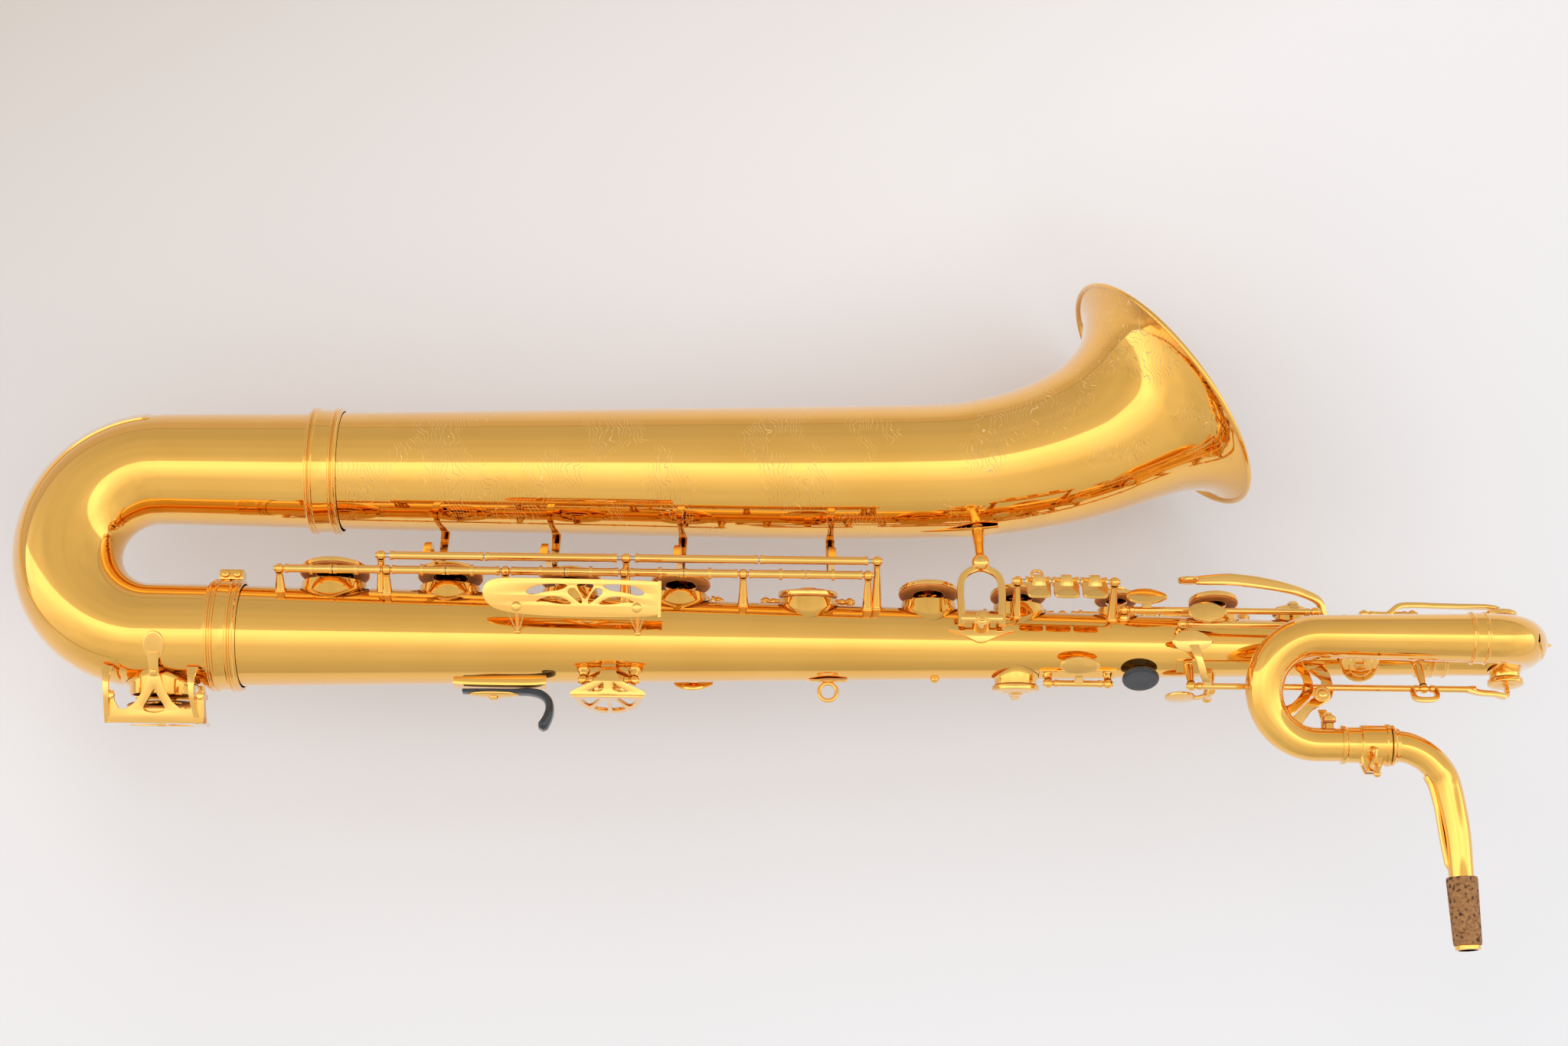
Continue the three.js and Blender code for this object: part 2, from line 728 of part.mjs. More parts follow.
function thumbRest() {
  const foot = polar(160, bodyRadius(768) + 0.6, 768);
  const profile = [[0, 0], [6, 0], [12.5, 4.4], [12, 7], [0, 7]];
  return solid(aim(turned(profile, 14), foot, outward(160)));
}

function steelRod(line, low, high) {
  return cylinderBetween(line.clone().setZ(low), line.clone().setZ(high), ROD_RADIUS, 8);
}

// ---------------------------------------------------------------- moving pieces
const sax = new THREE.Group();
sax.name = "baritone_saxophone";

function addMesh(parent, name, body, finish) {
  const mesh = new THREE.Mesh(geometryOf(body), finish);
  mesh.name = name;
  parent.add(mesh);
  return mesh;
}

// Pieces that turn or slide together. They are shaped in the closed position, and the
// group is turned by `rest` degrees about its axis, which is where the piece lies at rest.
function addMover(joint, pivot, axis, rest, pieces) {
  const group = new THREE.Group();
  group.position.copy(pivot);
  group.quaternion.setFromAxisAngle(axis, radians(rest));
  group.userData = { joint, axis: axis.toArray() };
  for (const [name, body, finish] of pieces) {
    const mesh = addMesh(group, name, body, finish);
    mesh.geometry.translate(-pivot.x, -pivot.y, -pivot.z);
  }
  sax.add(group);
}

// The joint of a key: its range in degrees from rest, and the key it moves with.
function keyJoint(low, high, follows = null, ratio = 1) {
  return { type: "hinge", range: [low, high], follows, ratio };
}

// Whether a turn about +Z lifts the cup off its hole (1) or presses it on (-1).
function liftSign(rod, place) {
  const reach = above(place, 0).sub(rod).setZ(0);
  const moved = UP.clone().cross(reach);
  return Math.sign(moved.dot(place.out));
}

function roof(place, sink = 0.8) {
  return above(place, CUP_HEIGHT - sink);
}

function keyArm(place, rod, stops = [], height = place.from.z) {
  const start = rod.clone().setZ(height).addScaledVector(place.out, 1.2);
  const shoulder = start.clone().lerp(roof(place), 0.12).addScaledVector(place.out, 5);
  const middle = stops.length ? stops : [shoulder];
  const points = [start, ...middle, roof(place)];
  return strip(points, 6, 2.2);
}

// An open-standing stack key on a hinge rod shared with its neighbours.
function addStackKey(note, rod, span, follows) {
  const place = seats[note];
  const hinge = hollowTube(rod.x, rod.y, span[0], span[1]);
  const bore = cylinderBetween(
    rod.clone().setZ(span[0] - 1),
    rod.clone().setZ(span[1] + 1),
    TUBE_BORE,
    6,
  );
  const arm = cut(keyArm(place, rod), bore);
  const lift = liftSign(rod, place) * STACK_OPEN;
  const range = lift > 0 ? [-STACK_OPEN, 0] : [0, STACK_OPEN];
  const name = "key_" + note;
  const pieces = [[name, join(cupWithRecess(place), arm, hinge), lacquer()]];
  if (note !== "b") pieces.push(["pad_" + note, loosePad(place), leather()]);
  else pieces[0][1] = join(cupWithPad(place), arm, hinge);
  addMover(
    keyJoint(...range, follows),
    rod.clone().setZ(place.from.z),
    UP,
    lift,
    pieces,
  );
}

// A bell key: its arm runs from the rod between the two tubes, round behind the bell.
function addBellKey(name, span, follows, ratio) {
  const place = bellSeats[name];
  const rod = BELL_KEY_ROD;
  const z = place.from.z;
  const edge = above(place, 9).addScaledVector(outward(BELL_KEY_ANGLE + 90), -place.cup);
  const stops = [vec(22, -62, z), vec(-20, -64, z), vec(-48, -74, z), edge];
  const start = rod.clone().setZ(z).add(vec(-1, -1, 0));
  const arm = strip([start, ...stops, roof(place)], 7, 2.2);
  const bore = cylinderBetween(
    rod.clone().setZ(span[0] - 1),
    rod.clone().setZ(span[1] + 1),
    TUBE_BORE,
    6,
  );
  const hinge = hollowTube(rod.x, rod.y, span[0], span[1]);
  const body = join(cupWithPad(place), cut(arm, bore), hinge);
  const joint = keyJoint(0, BELL_OPEN, follows, ratio);
  addMover(joint, rod.clone().setZ(z), UP, -BELL_OPEN, [["key_" + name, body, lacquer()]]);
}

// A closed-standing key on a solid rod between two pivot screws.
// `details` may hold extra pieces, the arm's way points and starting height, the lift
// in degrees and the lever the key follows.
function addSprungKey(name, place, rod, span, details = {}) {
  const { extras = [], stops, height, lift = CLOSED_LIFT, follows = null, ratio = 1 } = details;
  const low = rod.clone().setZ(span[0]);
  const high = rod.clone().setZ(span[1]);
  const shaft = cylinderBetween(low, high, 2.4, 8);
  const sign = liftSign(rod, place);
  const range = sign > 0 ? [0, lift] : [-lift, 0];
  const body = join(cupWithPad(place), keyArm(place, rod, stops, height), shaft, extras);
  addMover(keyJoint(...range, follows, sign * ratio), rod.clone().setZ(place.from.z), UP, 0, [
    ["key_" + name, body, lacquer()],
  ]);
}

// A finger plate carried from a rod by a short flat arm.
function touch(rod, at, direction, width, length) {
  const start = rod.clone().setZ(at.z);
  const arm = strip([start, at.clone().addScaledVector(direction, -0.6)], 6, 2);
  return join(arm, plate(at, direction, width, length, 2.2));
}

// ---------------------------------------------------------------- assembly
function addTubes() {
  addMesh(sax, "body_tube", bodyTube(), lacquer());
  addMesh(sax, "bow", bow(), lacquer());
  addMesh(sax, "bell", bell(), lacquer());
  addMesh(sax, "crook", crook(), lacquer());
  addMesh(sax, "body_bow_ring", bodyBowRing(), lacquer());
  const bellRing = ferrule(vec(0, -2 * BOW_BEND - 0.3, 0), 200, 222, 41.7, 43.4);
  addMesh(sax, "bell_bow_ring", bellRing, lacquer());
}

function addFittings() {
  addMesh(sax, "bell_brace", bellBrace(), lacquer());
  addMesh(sax, "crook_bracket", crookBracket(), lacquer());
  addMesh(sax, "bow_key_guard", bowKeyGuard(), lacquer());
  addMesh(sax, "trill_key_guard", trillKeyGuard(), lacquer());
  addMesh(sax, "bell_key_guard", bellKeyGuard(), lacquer());
  addMesh(sax, "stack_guard", stackGuard(), lacquer());
  addMesh(sax, "strap_ring", strapRing(), lacquer());
  addMesh(sax, "thumb_rest", thumbRest(), blackPlastic());
  addMesh(sax, "lower_stack_rod", steelRod(LOWER_STACK_ROD, 194, 486), steel());
  addMesh(sax, "upper_stack_rod", steelRod(UPPER_STACK_ROD, 594, 849), steel());
  addMesh(sax, "bell_key_rod", steelRod(BELL_KEY_ROD, 252, 594), steel());
  addMesh(sax, "table_rod", steelRod(TABLE_ROD, 680, 753), steel());
  addMesh(sax, "front_rod", steelRod(FRONT_ROD, 184, 588), steel());
}

function addStacks() {
  addStackKey("d", LOWER_STACK_ROD, [203, 262], null);
  addStackKey("e", LOWER_STACK_ROD, [263, 334], null);
  addStackKey("f", LOWER_STACK_ROD, [346, 415], null);
  addStackKey("fsharp", LOWER_STACK_ROD, [416, 476], "key_f");
  addStackKey("g", UPPER_STACK_ROD, [603, 656], null);
  addStackKey("a", UPPER_STACK_ROD, [657, 714], null);
  addStackKey("b", UPPER_STACK_ROD, [726, 786], null);
  addStackKey("c", UPPER_STACK_ROD, [787, 839], "key_b");
}

function addBellKeys() {
  addBellKey("low_csharp", [262, 325], null, 1);
  addBellKey("low_b", [326, 415], "table_low_b", 1);
  addBellKey("low_bb", [427, 510], "table_low_bb", 1);
  addBellKey("low_a", [511, 584], "low_a_thumb_lever", -1);
}

// The left little finger's table: levers side by side on one rod.
function addTable() {
  const plates = [
    ["table_gsharp", 689, 706],
    ["table_low_b", 707, 725],
    ["table_low_bb", 726, 744],
  ];
  const facing = outward(75);
  for (const [name, low, high] of plates) {
    const middle = (low + high) / 2;
    const hinge = hollowTube(TABLE_ROD.x, TABLE_ROD.y, low, high);
    const at = TABLE_ROD.clone().add(vec(7.5, 7, middle));
    const edge = TABLE_ROD.clone().add(vec(3, 0, middle));
    const arm = strip([edge, at.clone().addScaledVector(facing, -0.4)], 8, 2);
    const leaf = plate(at, facing, 17, high - low - 1, 2.2);
    addMover(keyJoint(0, BELL_OPEN), TABLE_ROD.clone().setZ(middle), UP, 0, [
      [name, join(hinge, arm, leaf), lacquer()],
    ]);
  }
}

function addSprungKeys() {
  addSprungKey("gsharp", seats.gsharp, GSHARP_ROD, [518.4, 569.6], {
    follows: "table_gsharp",
    ratio: CLOSED_LIFT / BELL_OPEN,
  });
  addSprungKey("low_eb", seats.low_eb, LOW_EB_ROD, [175.4, 204.6]);
  addSprungKey("trill_fsharp", seats.trill, TRILL_ROD, [397.4, 424.6], { lift: 4 });
  addSprungKey("side_bb", seats.side_bb, SIDE_BB_ROD, [450.4, 701.6], {
    extras: [touch(SIDE_BB_ROD, vec(-38, 19, 466), outward(-120), 12, 26)],
    stops: [vec(-28, 24, 685), vec(-16, 33.5, 685)],
  });
  addSprungKey("side_c", seats.side_c, SIDE_C_ROD, [498.4, 736.6], {
    extras: [touch(SIDE_C_ROD, vec(-37, -14, 515), outward(-80), 12, 26)],
  });
  addSprungKey("palm_d", seats.palm_d, PALM_D_ROD, [760.4, 882.6], {
    extras: [touch(PALM_D_ROD, polar(42, 38, 772), outward(60), 14, 27)],
  });
  addSprungKey("palm_eb", seats.palm_eb, PALM_EB_ROD, [798.4, 905.6], {
    extras: [touch(PALM_EB_ROD, polar(68, 38, 811), outward(80), 14, 25)],
    stops: [vec(28.4, 4, 904), vec(26.4, 15, 911)],
    height: 898,
    lift: 7,
  });
}

function addCrookKeys() {
  const place = loopSeats.palm_f;
  const rod = PALM_F_ROD;
  const at = (x, y, z) => rod.clone().add(vec(x, y, z));
  const shaft = cylinderBetween(at(0, 0, 803.4), at(0, 0, 951.6), 2.4, 8);
  const upperShaft = cylinderBetween(at(0, 0, 958.4), at(0, 0, 990), 2.4, 8);
  const roundPost = [at(0, 0, 948), at(4, 8, 948), at(4, 8, 962), at(0, 0, 962)];
  const climb = [at(0, 0, 986), at(-1, 2, 1000), at(-7, 2, 1011), roof(place)];
  const tip = [at(0, 0, 812), at(10, -7, 806), at(14, -26, 800)];
  const palmF = join(
    cupWithPad(place),
    shaft,
    upperShaft,
    strip(roundPost, 4, 3, ACROSS),
    strip(climb, 6, 2.2, ACROSS),
    strip(tip, 7, 2),
    plate(at(14.4, -27, 800), outward(100), 14, 26, 2.2),
  );
  addMover(keyJoint(-6, 0), rod.clone().setZ(place.from.z), UP, 0, [
    ["key_palm_f", palmF, lacquer()],
  ]);

  const front = loopSeats.high_e;
  const line = HIGH_E_ROD;
  const eShaft = cylinderBetween(line.clone().setZ(928.4), line.clone().setZ(954.6), 2.4, 8);
  const bend = [
    line.clone().setZ(944).add(vec(0, -0.5, 0)),
    line.clone().setZ(951).add(vec(0, -6.5, 0)),
    line.clone().setZ(975).add(vec(0, -6.5, 0)),
    vec(7.3, -30, 1000),
    roof(front),
  ];
  const eArm = strip(bend, 5, 2.2, ACROSS);
  const highE = join(cupWithPad(front), eShaft, eArm);
  addMover(keyJoint(-8, 0), line.clone().setZ(front.from.z), UP, 0, [
    ["key_high_e", highE, lacquer()],
  ]);
}

function addFrontF() {
  const line = FRONT_F_ROD;
  const shaft = cylinderBetween(line.clone().setZ(889.4), line.clone().setZ(908.6), 2.4, 8);
  const path = [
    line.clone().setZ(898).add(vec(0, -1, 0)),
    vec(-6, -39, 892),
    vec(3, -43, 870),
    vec(7, -46.5, 838),
    vec(8, -46, 808),
  ];
  const lever = strip(path, 6, 2.4, ACROSS);
  const pearl = plate(vec(8, -46.5, 803), outward(0), 11, 14, 2.4);
  addMover(keyJoint(-3, 0), line.clone().setZ(898), UP, 0, [
    ["front_f_lever", join(shaft, lever, pearl), lacquer()],
  ]);
}

function addThumbKeys() {
  const line = LOW_A_THUMB_ROD;
  const shaft = cylinderBetween(line.clone().setZ(709.4), line.clone().setZ(742.6), 2.4, 8);
  const leaf = touch(line, polar(132, 33, 726), outward(140), 14, 26);
  addMover(keyJoint(-BELL_OPEN, 0), line.clone().setZ(726), UP, 0, [
    ["low_a_thumb_lever", join(shaft, leaf), lacquer()],
  ]);

  const axis = OCTAVE_AXIS;
  const rod = cylinderBetween(vec(axis.x - 5.6, axis.y, axis.z), vec(axis.x + 5.6, axis.y, axis.z), 2.4, 8);
  const arm = strip([axis.clone(), vec(axis.x, 33, 806), vec(axis.x, 33, 798)], 6, 2, ACROSS);
  const crescent = plate(vec(axis.x, 34, 796), BACK, 20, 20, 2.2);
  addMover(keyJoint(-6, 0), axis, ACROSS, 0, [
    ["octave_thumb_lever", join(rod, arm, crescent), lacquer()],
  ]);

  const ventLine = VENT_ROD;
  const ventShaft = cylinderBetween(ventLine.clone().setZ(880.4), ventLine.clone().setZ(897.6), 2, 8);
  const ventArm = strip([ventLine.clone().setZ(889).add(vec(0, -1, 0)), roof(ventSeat)], 5, 2);
  const tail = strip([ventLine.clone().setZ(889), vec(12, 54, 889), vec(9, 46, 889)], 5, 2);
  const body = join(cupWithPad(ventSeat), ventShaft, ventArm, tail);
  const sign = liftSign(ventLine, ventSeat);
  const follow = keyJoint(...(sign > 0 ? [0, 6] : [-6, 0]), "octave_thumb_lever", -sign);
  addMover(follow, ventLine.clone().setZ(889), UP, 0, [["octave_vent_key", body, lacquer()]]);
}

function addLowC() {
  const place = lowCSeat;
  const rod = LOW_C_ROD;
  const shaft = cylinderBetween(rod.clone().setZ(LOW_C_Z - 17.6), rod.clone().setZ(LOW_C_Z + 17.6), 2.4, 8);
  const body = join(cupWithRecess(place), keyArm(place, rod), shaft);
  const lift = liftSign(rod, place) * STACK_OPEN;
  const range = lift > 0 ? [-STACK_OPEN, 0] : [0, STACK_OPEN];
  addMover(keyJoint(...range), rod.clone().setZ(LOW_C_Z), UP, lift, [
    ["key_low_c", body, lacquer()],
    ["pad_low_c", loosePad(place), leather()],
  ]);
}

function addNeck() {
  const tube = pipe(NECK_PATH, NECK_RADII, 12);
  const tenonProfile = [
    [8.6, 906],
    [10.4, 906],
    [10.4, 933],
    [8.6, 933],
    [8.6, 906],
  ];
  const tenon = solid(turned(tenonProfile, 16).translate(NECK_X, NECK_Y, 0));
  const ribPath = [vec(25, 94, 951), vec(21, 108, 957), vec(17, 138, 962), vec(15, 150, 964)];
  const brace = strip(ribPath, 3, 8, ACROSS);
  const bore = solid(skin(ringsAlong(NECK_PATH, (i) => NECK_RADII[i] - WALL, 12), false));
  const neck = join(tube, cut(tenon, bore), cut(brace, bore));
  const corkPath = [vec(14.2, 160, 973.1), vec(10.2, 205, 974.9)];
  const sleeve = solid(skin(ringsAlong(corkPath, (i) => [10.4, 9.2][i], 12), false));
  const hollow = solid(
    skin(ringsAlong([vec(14.3, 158, 973), vec(10, 209, 975.1)], (i) => [8.9, 8.3][i], 12), false),
  );
  addMover(
    { type: "hinge", range: [-12, 12], follows: null, ratio: 1 },
    vec(NECK_X, NECK_Y, RECEIVER_TOP),
    UP,
    0,
    [
      ["neck", neck, lacquer()],
      ["neck_cork", cut(sleeve, hollow), cork()],
    ],
  );
}

function addNeckScrew() {
  const [y, z] = [NECK_Y + 16.5, 915];
  const shank = cylinderBetween(vec(NECK_X - 4, y, z), vec(NECK_X + 15, y, z), ROD_RADIUS, 8);
  const boss = cylinderBetween(vec(NECK_X + 10, y, z), vec(NECK_X + 16, y, z), 3.4, 8);
  const wings = solid(
    new THREE.BoxGeometry(6, 18, 3.4).translate(NECK_X + 17.5, y, z),
  );
  addMover(
    { type: "hinge", range: [-180, 180], follows: null, ratio: 1 },
    vec(NECK_X + 12, y, z),
    ACROSS,
    0,
    [["neck_screw", join(shank, boss, wings), lacquer()]],
  );
}

function addThumbHook() {
  const curve = [
    vec(0, 37.4, 312),
    vec(0, 37.4, 356),
    vec(0, 40, 364),
    vec(0, 50, 368),
    vec(0, 58, 364),
    vec(0, 62, 354),
  ];
  const hook = strip(curve, 11, 3.4, ACROSS);
  addMover(
    { type: "slide", range: [-6, 6], follows: null, ratio: 1 },
    vec(0, 37.4, 337),
    UP,
    0,
    [["thumb_hook", hook, blackPlastic()]],
  );
}

addTubes();
addFittings();
addStacks();
addBellKeys();
addTable();
addSprungKeys();
addCrookKeys();
addFrontF();
addThumbKeys();
addLowC();
addNeck();
addNeckScrew();
addThumbHook();

// The origin is under the middle of the instrument's footprint, at its lowest point.
sax.updateMatrixWorld(true);
const extent = new THREE.Box3().setFromObject(sax, true);
const middle = extent.getCenter(new THREE.Vector3());
sax.position.set(-middle.x, -middle.y, -extent.min.z);

export default sax;
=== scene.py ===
import json
import math

import bmesh
import bpy
import numpy as np
from mathutils import Matrix, Vector


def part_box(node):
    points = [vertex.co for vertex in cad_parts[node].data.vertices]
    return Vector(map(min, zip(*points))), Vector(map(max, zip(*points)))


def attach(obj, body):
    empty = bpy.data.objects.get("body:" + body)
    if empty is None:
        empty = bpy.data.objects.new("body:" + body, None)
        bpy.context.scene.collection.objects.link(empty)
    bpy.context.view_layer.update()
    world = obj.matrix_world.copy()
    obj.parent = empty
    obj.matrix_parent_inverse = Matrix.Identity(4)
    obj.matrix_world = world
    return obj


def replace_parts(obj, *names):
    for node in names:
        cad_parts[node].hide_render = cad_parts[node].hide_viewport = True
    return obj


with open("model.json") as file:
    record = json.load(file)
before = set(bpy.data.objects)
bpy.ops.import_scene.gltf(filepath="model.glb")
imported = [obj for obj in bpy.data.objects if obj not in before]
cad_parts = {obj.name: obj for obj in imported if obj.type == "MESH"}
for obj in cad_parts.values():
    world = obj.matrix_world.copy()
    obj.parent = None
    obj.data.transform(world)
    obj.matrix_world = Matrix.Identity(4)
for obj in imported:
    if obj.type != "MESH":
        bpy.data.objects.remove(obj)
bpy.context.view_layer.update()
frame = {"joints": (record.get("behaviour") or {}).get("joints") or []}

# Drawing frame: millimetres, the body tube's axis at x = y = 0, the bell towards -Y.
UP = np.array([0.0, 0.0, 1.0])
ACROSS = np.array([1.0, 0.0, 0.0])
BACK = np.array([0.0, 1.0, 0.0])
BODY_BOTTOM, BODY_TOP = 150.0, 964.0
BOW_CENTRE_Z, BOW_BEND = 97.0, 60.0
BELL_AXIS_Y = -120.3
WALL = 1.2  # sheet of the tubes
CHIMNEY = 4.0  # a tone hole's rim above its tube
GAP = 0.3  # between that rim and a closed pad
PAD_DROP = 0.8  # how far a pad stands out of its cup
CUP_HEIGHT = 5.2
SMALLEST_RESONATOR_CUP = 9.0
# Where the tone holes face: degrees round the upright tube, 0 towards the bell.
STACK_ANGLE = 5.0
BELL_KEY_ANGLE = -77
LOW_C_Z = 108.0
LOW_C_ANGLE = 192.0

ring_low, ring_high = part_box("bell_bow_ring")
body_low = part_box("body_tube")[0]
ring_middle = 500 * (np.array(ring_low) + np.array(ring_high))
# Where the drawing frame's origin lies in the row frame, in millimetres.
SHIFT = np.array([ring_middle[0], ring_middle[1] - BELL_AXIS_Y, 1000 * body_low[2] - BODY_BOTTOM])


# ------------------------------------------------------------------ vectors
def vec(x, y, z):
    return np.array([x, y, z], dtype=float)


def unit(v):
    return v / np.linalg.norm(v)


def outward(angle):
    turn = math.radians(angle)
    return vec(math.sin(turn), -math.cos(turn), 0)


def polar(angle, rho, z):
    return outward(angle) * rho + vec(0, 0, z)


def low_c_point(x, y, z):
    """A point on the low C key's parts, given as if its tone hole faced the player squarely."""
    face = outward(LOW_C_ANGLE)
    return np.cross(face, UP) * x + face * y + vec(0, 0, z)


def chain(base, *offsets):
    return [base + vec(*offset) for offset in offsets]


def mirrored(points):
    return [(-x, y) for x, y in points]


def body_radius(z):
    return 34.5 - 0.0215 * (z - BODY_BOTTOM)


def basis(direction):
    """Three directions square to each other, the last along `direction`."""
    w = unit(direction)
    hint = UP
    if abs(w[2]) > 0.95:
        hint = BACK if abs(w[1]) < 0.9 else ACROSS
    u = unit(np.cross(hint, w))
    return u, np.cross(w, u), w


# ------------------------------------------------------------------ shapes: (vertices, faces)
def grid_faces(rows, count, looped=False, closed=True):
    faces = []
    spans = rows if looped else rows - 1
    for i in range(spans):
        near, far = i * count, ((i + 1) % rows) * count
        for k in range(count if closed else count - 1):
            n = (k + 1) % count
            faces.append((near + k, near + n, far + n, far + k))
    return faces


def fillet(profile, radius):
    """Rounds the inner corners of an open outline of (r, h) pairs, in three steps each."""
    pts = [np.array(p, dtype=float) for p in profile]
    out = [pts[0]]
    for a, p, b in zip(pts, pts[1:], pts[2:]):
        la, lb = np.linalg.norm(a - p), np.linalg.norm(b - p)
        cut = min(radius, 0.45 * la, 0.45 * lb)
        if cut < 0.02:
            out.append(p)
            continue
        start, end = p + (a - p) / la * cut, p + (b - p) / lb * cut
        for t in np.linspace(0, 1, 4):
            out.append((1 - t) ** 2 * start + 2 * t * (1 - t) * p + t * t * end)
    out.append(pts[-1])
    return out


def turned(profile, at, direction, sides, round_by=0.3, looped=False):
    """A solid of revolution whose +h runs along `direction` from `at`."""
    pts = fillet(profile, round_by) if round_by else [np.array(p, float) for p in profile]
    u, v, w = basis(np.asarray(direction, dtype=float))
    turns = np.linspace(0, 2 * math.pi, sides, endpoint=False)
    ring = np.outer(np.cos(turns), u) + np.outer(np.sin(turns), v)
    verts = np.concatenate([at + p[0] * ring + p[1] * w for p in pts])
    return verts, grid_faces(len(pts), sides, looped)


def between(start, end, radius, end_radius=None, sides=20, round_by=0.3):
    """A round bar from `start` to `end`."""
    end_radius = radius if end_radius is None else end_radius
    length = np.linalg.norm(end - start)
    profile = [(0, 0), (radius, 0), (end_radius, length), (0, length)]
    return turned(profile, start, end - start, sides, round_by)


def ball(at, radius, sides):
    turns = np.linspace(0, math.pi, 13)
    profile = [(radius * math.sin(t), -radius * math.cos(t)) for t in turns]
    return turned(profile, at, UP, sides, 0)


def torus(at, axis, ring_radius, tube_radius, sides, inner):
    profile = [
        (ring_radius + tube_radius * math.cos(t), tube_radius * math.sin(t))
        for t in np.linspace(0, 2 * math.pi, inner, endpoint=False)
    ]
    return turned(profile, at, axis, sides, 0, looped=True)


def smooth_path(points, steps):
    """A Catmull-Rom curve through the points."""
    pts = [np.asarray(p, dtype=float) for p in points]
    ext = [2 * pts[0] - pts[1], *pts, 2 * pts[-1] - pts[-2]]
    out = []
    for a, b, c, d in zip(ext, ext[1:], ext[2:], ext[3:]):
        for i in range(steps):
            t = i / steps
            out.append(
                0.5 * (2 * b + (c - a) * t + (2 * a - 5 * b + 4 * c - d) * t * t)
                + 0.5 * (3 * b - a - 3 * c + d) * t**3
            )
    out.append(pts[-1])
    return np.array(out)


def tangents_of(path):
    t = np.gradient(path, axis=0)
    return t / np.linalg.norm(t, axis=1)[:, None]


def tube_rings(path, radii, sides):
    """Rings square to the path, with no twist."""
    tangents = tangents_of(path)
    side = ACROSS if abs(tangents[0][0]) < 0.9 else BACK
    rings = []
    turns = np.linspace(0, 2 * math.pi, sides, endpoint=False)
    for point, tangent, radius in zip(path, tangents, radii):
        side = unit(side - np.dot(side, tangent) * tangent)
        other = np.cross(tangent, side)
        ring = np.outer(np.cos(turns), side) + np.outer(np.sin(turns), other)
        rings.append(point + radius * ring)
    return rings


def outside_holes(verts, faces, holes, spare):
    """The faces whose middles are clear of every tone hole by `spare`."""
    faces = np.array(faces)
    centres = verts[faces].mean(axis=1)
    keep = np.ones(len(faces), dtype=bool)
    for hole in holes:
        away = centres - hole["from"]
        along = away @ hole["out"]
        across = np.linalg.norm(away - np.outer(along, hole["out"]), axis=1)
        keep &= ~((across < hole["hole"] + spare) & (along > 0.3 * hole["tube"]))
    return [tuple(f) for f in faces[keep]]


def tube(path, radii, sides, wall, holes=()):
    """An open sheet-metal tube, with its faces left out inside each tone hole."""
    path = np.asarray(path)
    outer = tube_rings(path, radii, sides)
    inner = tube_rings(path, np.asarray(radii) - wall, sides)
    verts = np.concatenate(outer + inner[::-1])
    faces = grid_faces(len(outer) * 2, sides, looped=True)
    return verts, outside_holes(verts, faces, holes, 0.8)


def section(width, thickness, power):
    """A flat bar's cross-section; a higher power gives squarer edges."""
    turns = np.linspace(0, 2 * math.pi, 16, endpoint=False)
    c, s = np.cos(turns), np.sin(turns)
    r = (np.abs(c) ** power + np.abs(s) ** power) ** (-1 / power)
    return np.stack([r * c * width / 2, r * s * thickness / 2], axis=1)


def bar(points, width, thickness, across, steps=6, power=4.0, curved=True):
    """A flat bar through points. Width and thickness may be lists, one value a point."""
    path = smooth_path(points, steps) if curved else np.array(points, dtype=float)
    where = np.linspace(0, 1, len(points))
    along = np.linspace(0, 1, len(path))
    widths = np.interp(along, where, np.broadcast_to(width, (len(points),)))
    thicks = np.interp(along, where, np.broadcast_to(thickness, (len(points),)))
    verts, previous = [], None
    for point, tangent, w, h in zip(path, tangents_of(path), widths, thicks):
        flat = np.cross(tangent, across)
        if np.linalg.norm(flat) < 0.15 and previous is not None:
            flat = previous
        flat = unit(flat)
        previous = flat
        wide = np.cross(flat, tangent)
        cut = section(w, h, power)
        verts.append(point + np.outer(cut[:, 0], wide) + np.outer(cut[:, 1], flat))
    count = len(verts[0])
    faces = grid_faces(len(verts), count)
    faces.append(tuple(reversed(range(count))))
    faces.append(tuple(range((len(verts) - 1) * count, len(verts) * count)))
    return np.concatenate(verts), faces


def leaf(at, facing, width, length, thickness, tip, dome, along=UP, square=2.0):
    """A finger plate, domed outside. `tip` above 0 narrows its upper end to a teardrop."""
    w = unit(facing)
    v = unit(along - np.dot(along, w) * w)
    u = np.cross(v, w)
    turns = np.linspace(0, 2 * math.pi, 48, endpoint=False)
    levels = [(0.0, -thickness), (0.9, -thickness), (1.0, -0.7 * thickness)]
    levels += [(1.0, -0.25 * thickness), (0.96, 0.0), (0.8, 0.35 * dome)]
    levels += [(0.55, 0.7 * dome), (0.28, 0.93 * dome), (0, dome)]
    rings = []
    c, y = np.cos(turns), np.sin(turns)
    reach = (np.abs(c) ** square + np.abs(y) ** square) ** (-1 / square)
    c, y = c * reach, y * reach
    for share, height in levels:
        narrow = 1 - tip * np.clip(y, 0, 1) ** 1.3
        ring = np.outer(c * width / 2 * narrow * share, u)
        ring += np.outer(y * length / 2 * share, v) + height * w
        rings.append(at + ring)
    return np.concatenate(rings), grid_faces(len(rings), len(turns))


def arc_row(centre, radius, out, side, angles, lifts):
    """Points round a circle, each lifted off it by its own height."""
    return [
        centre + (radius + lift) * (math.cos(a) * out + math.sin(a) * side)
        for a, lift in zip(angles, lifts)
    ]


def strip(rows):
    """A thin open sheet through rows of points."""
    faces = grid_faces(len(rows), len(rows[0]), closed=False)
    return np.array(rows).reshape(-1, 3), faces


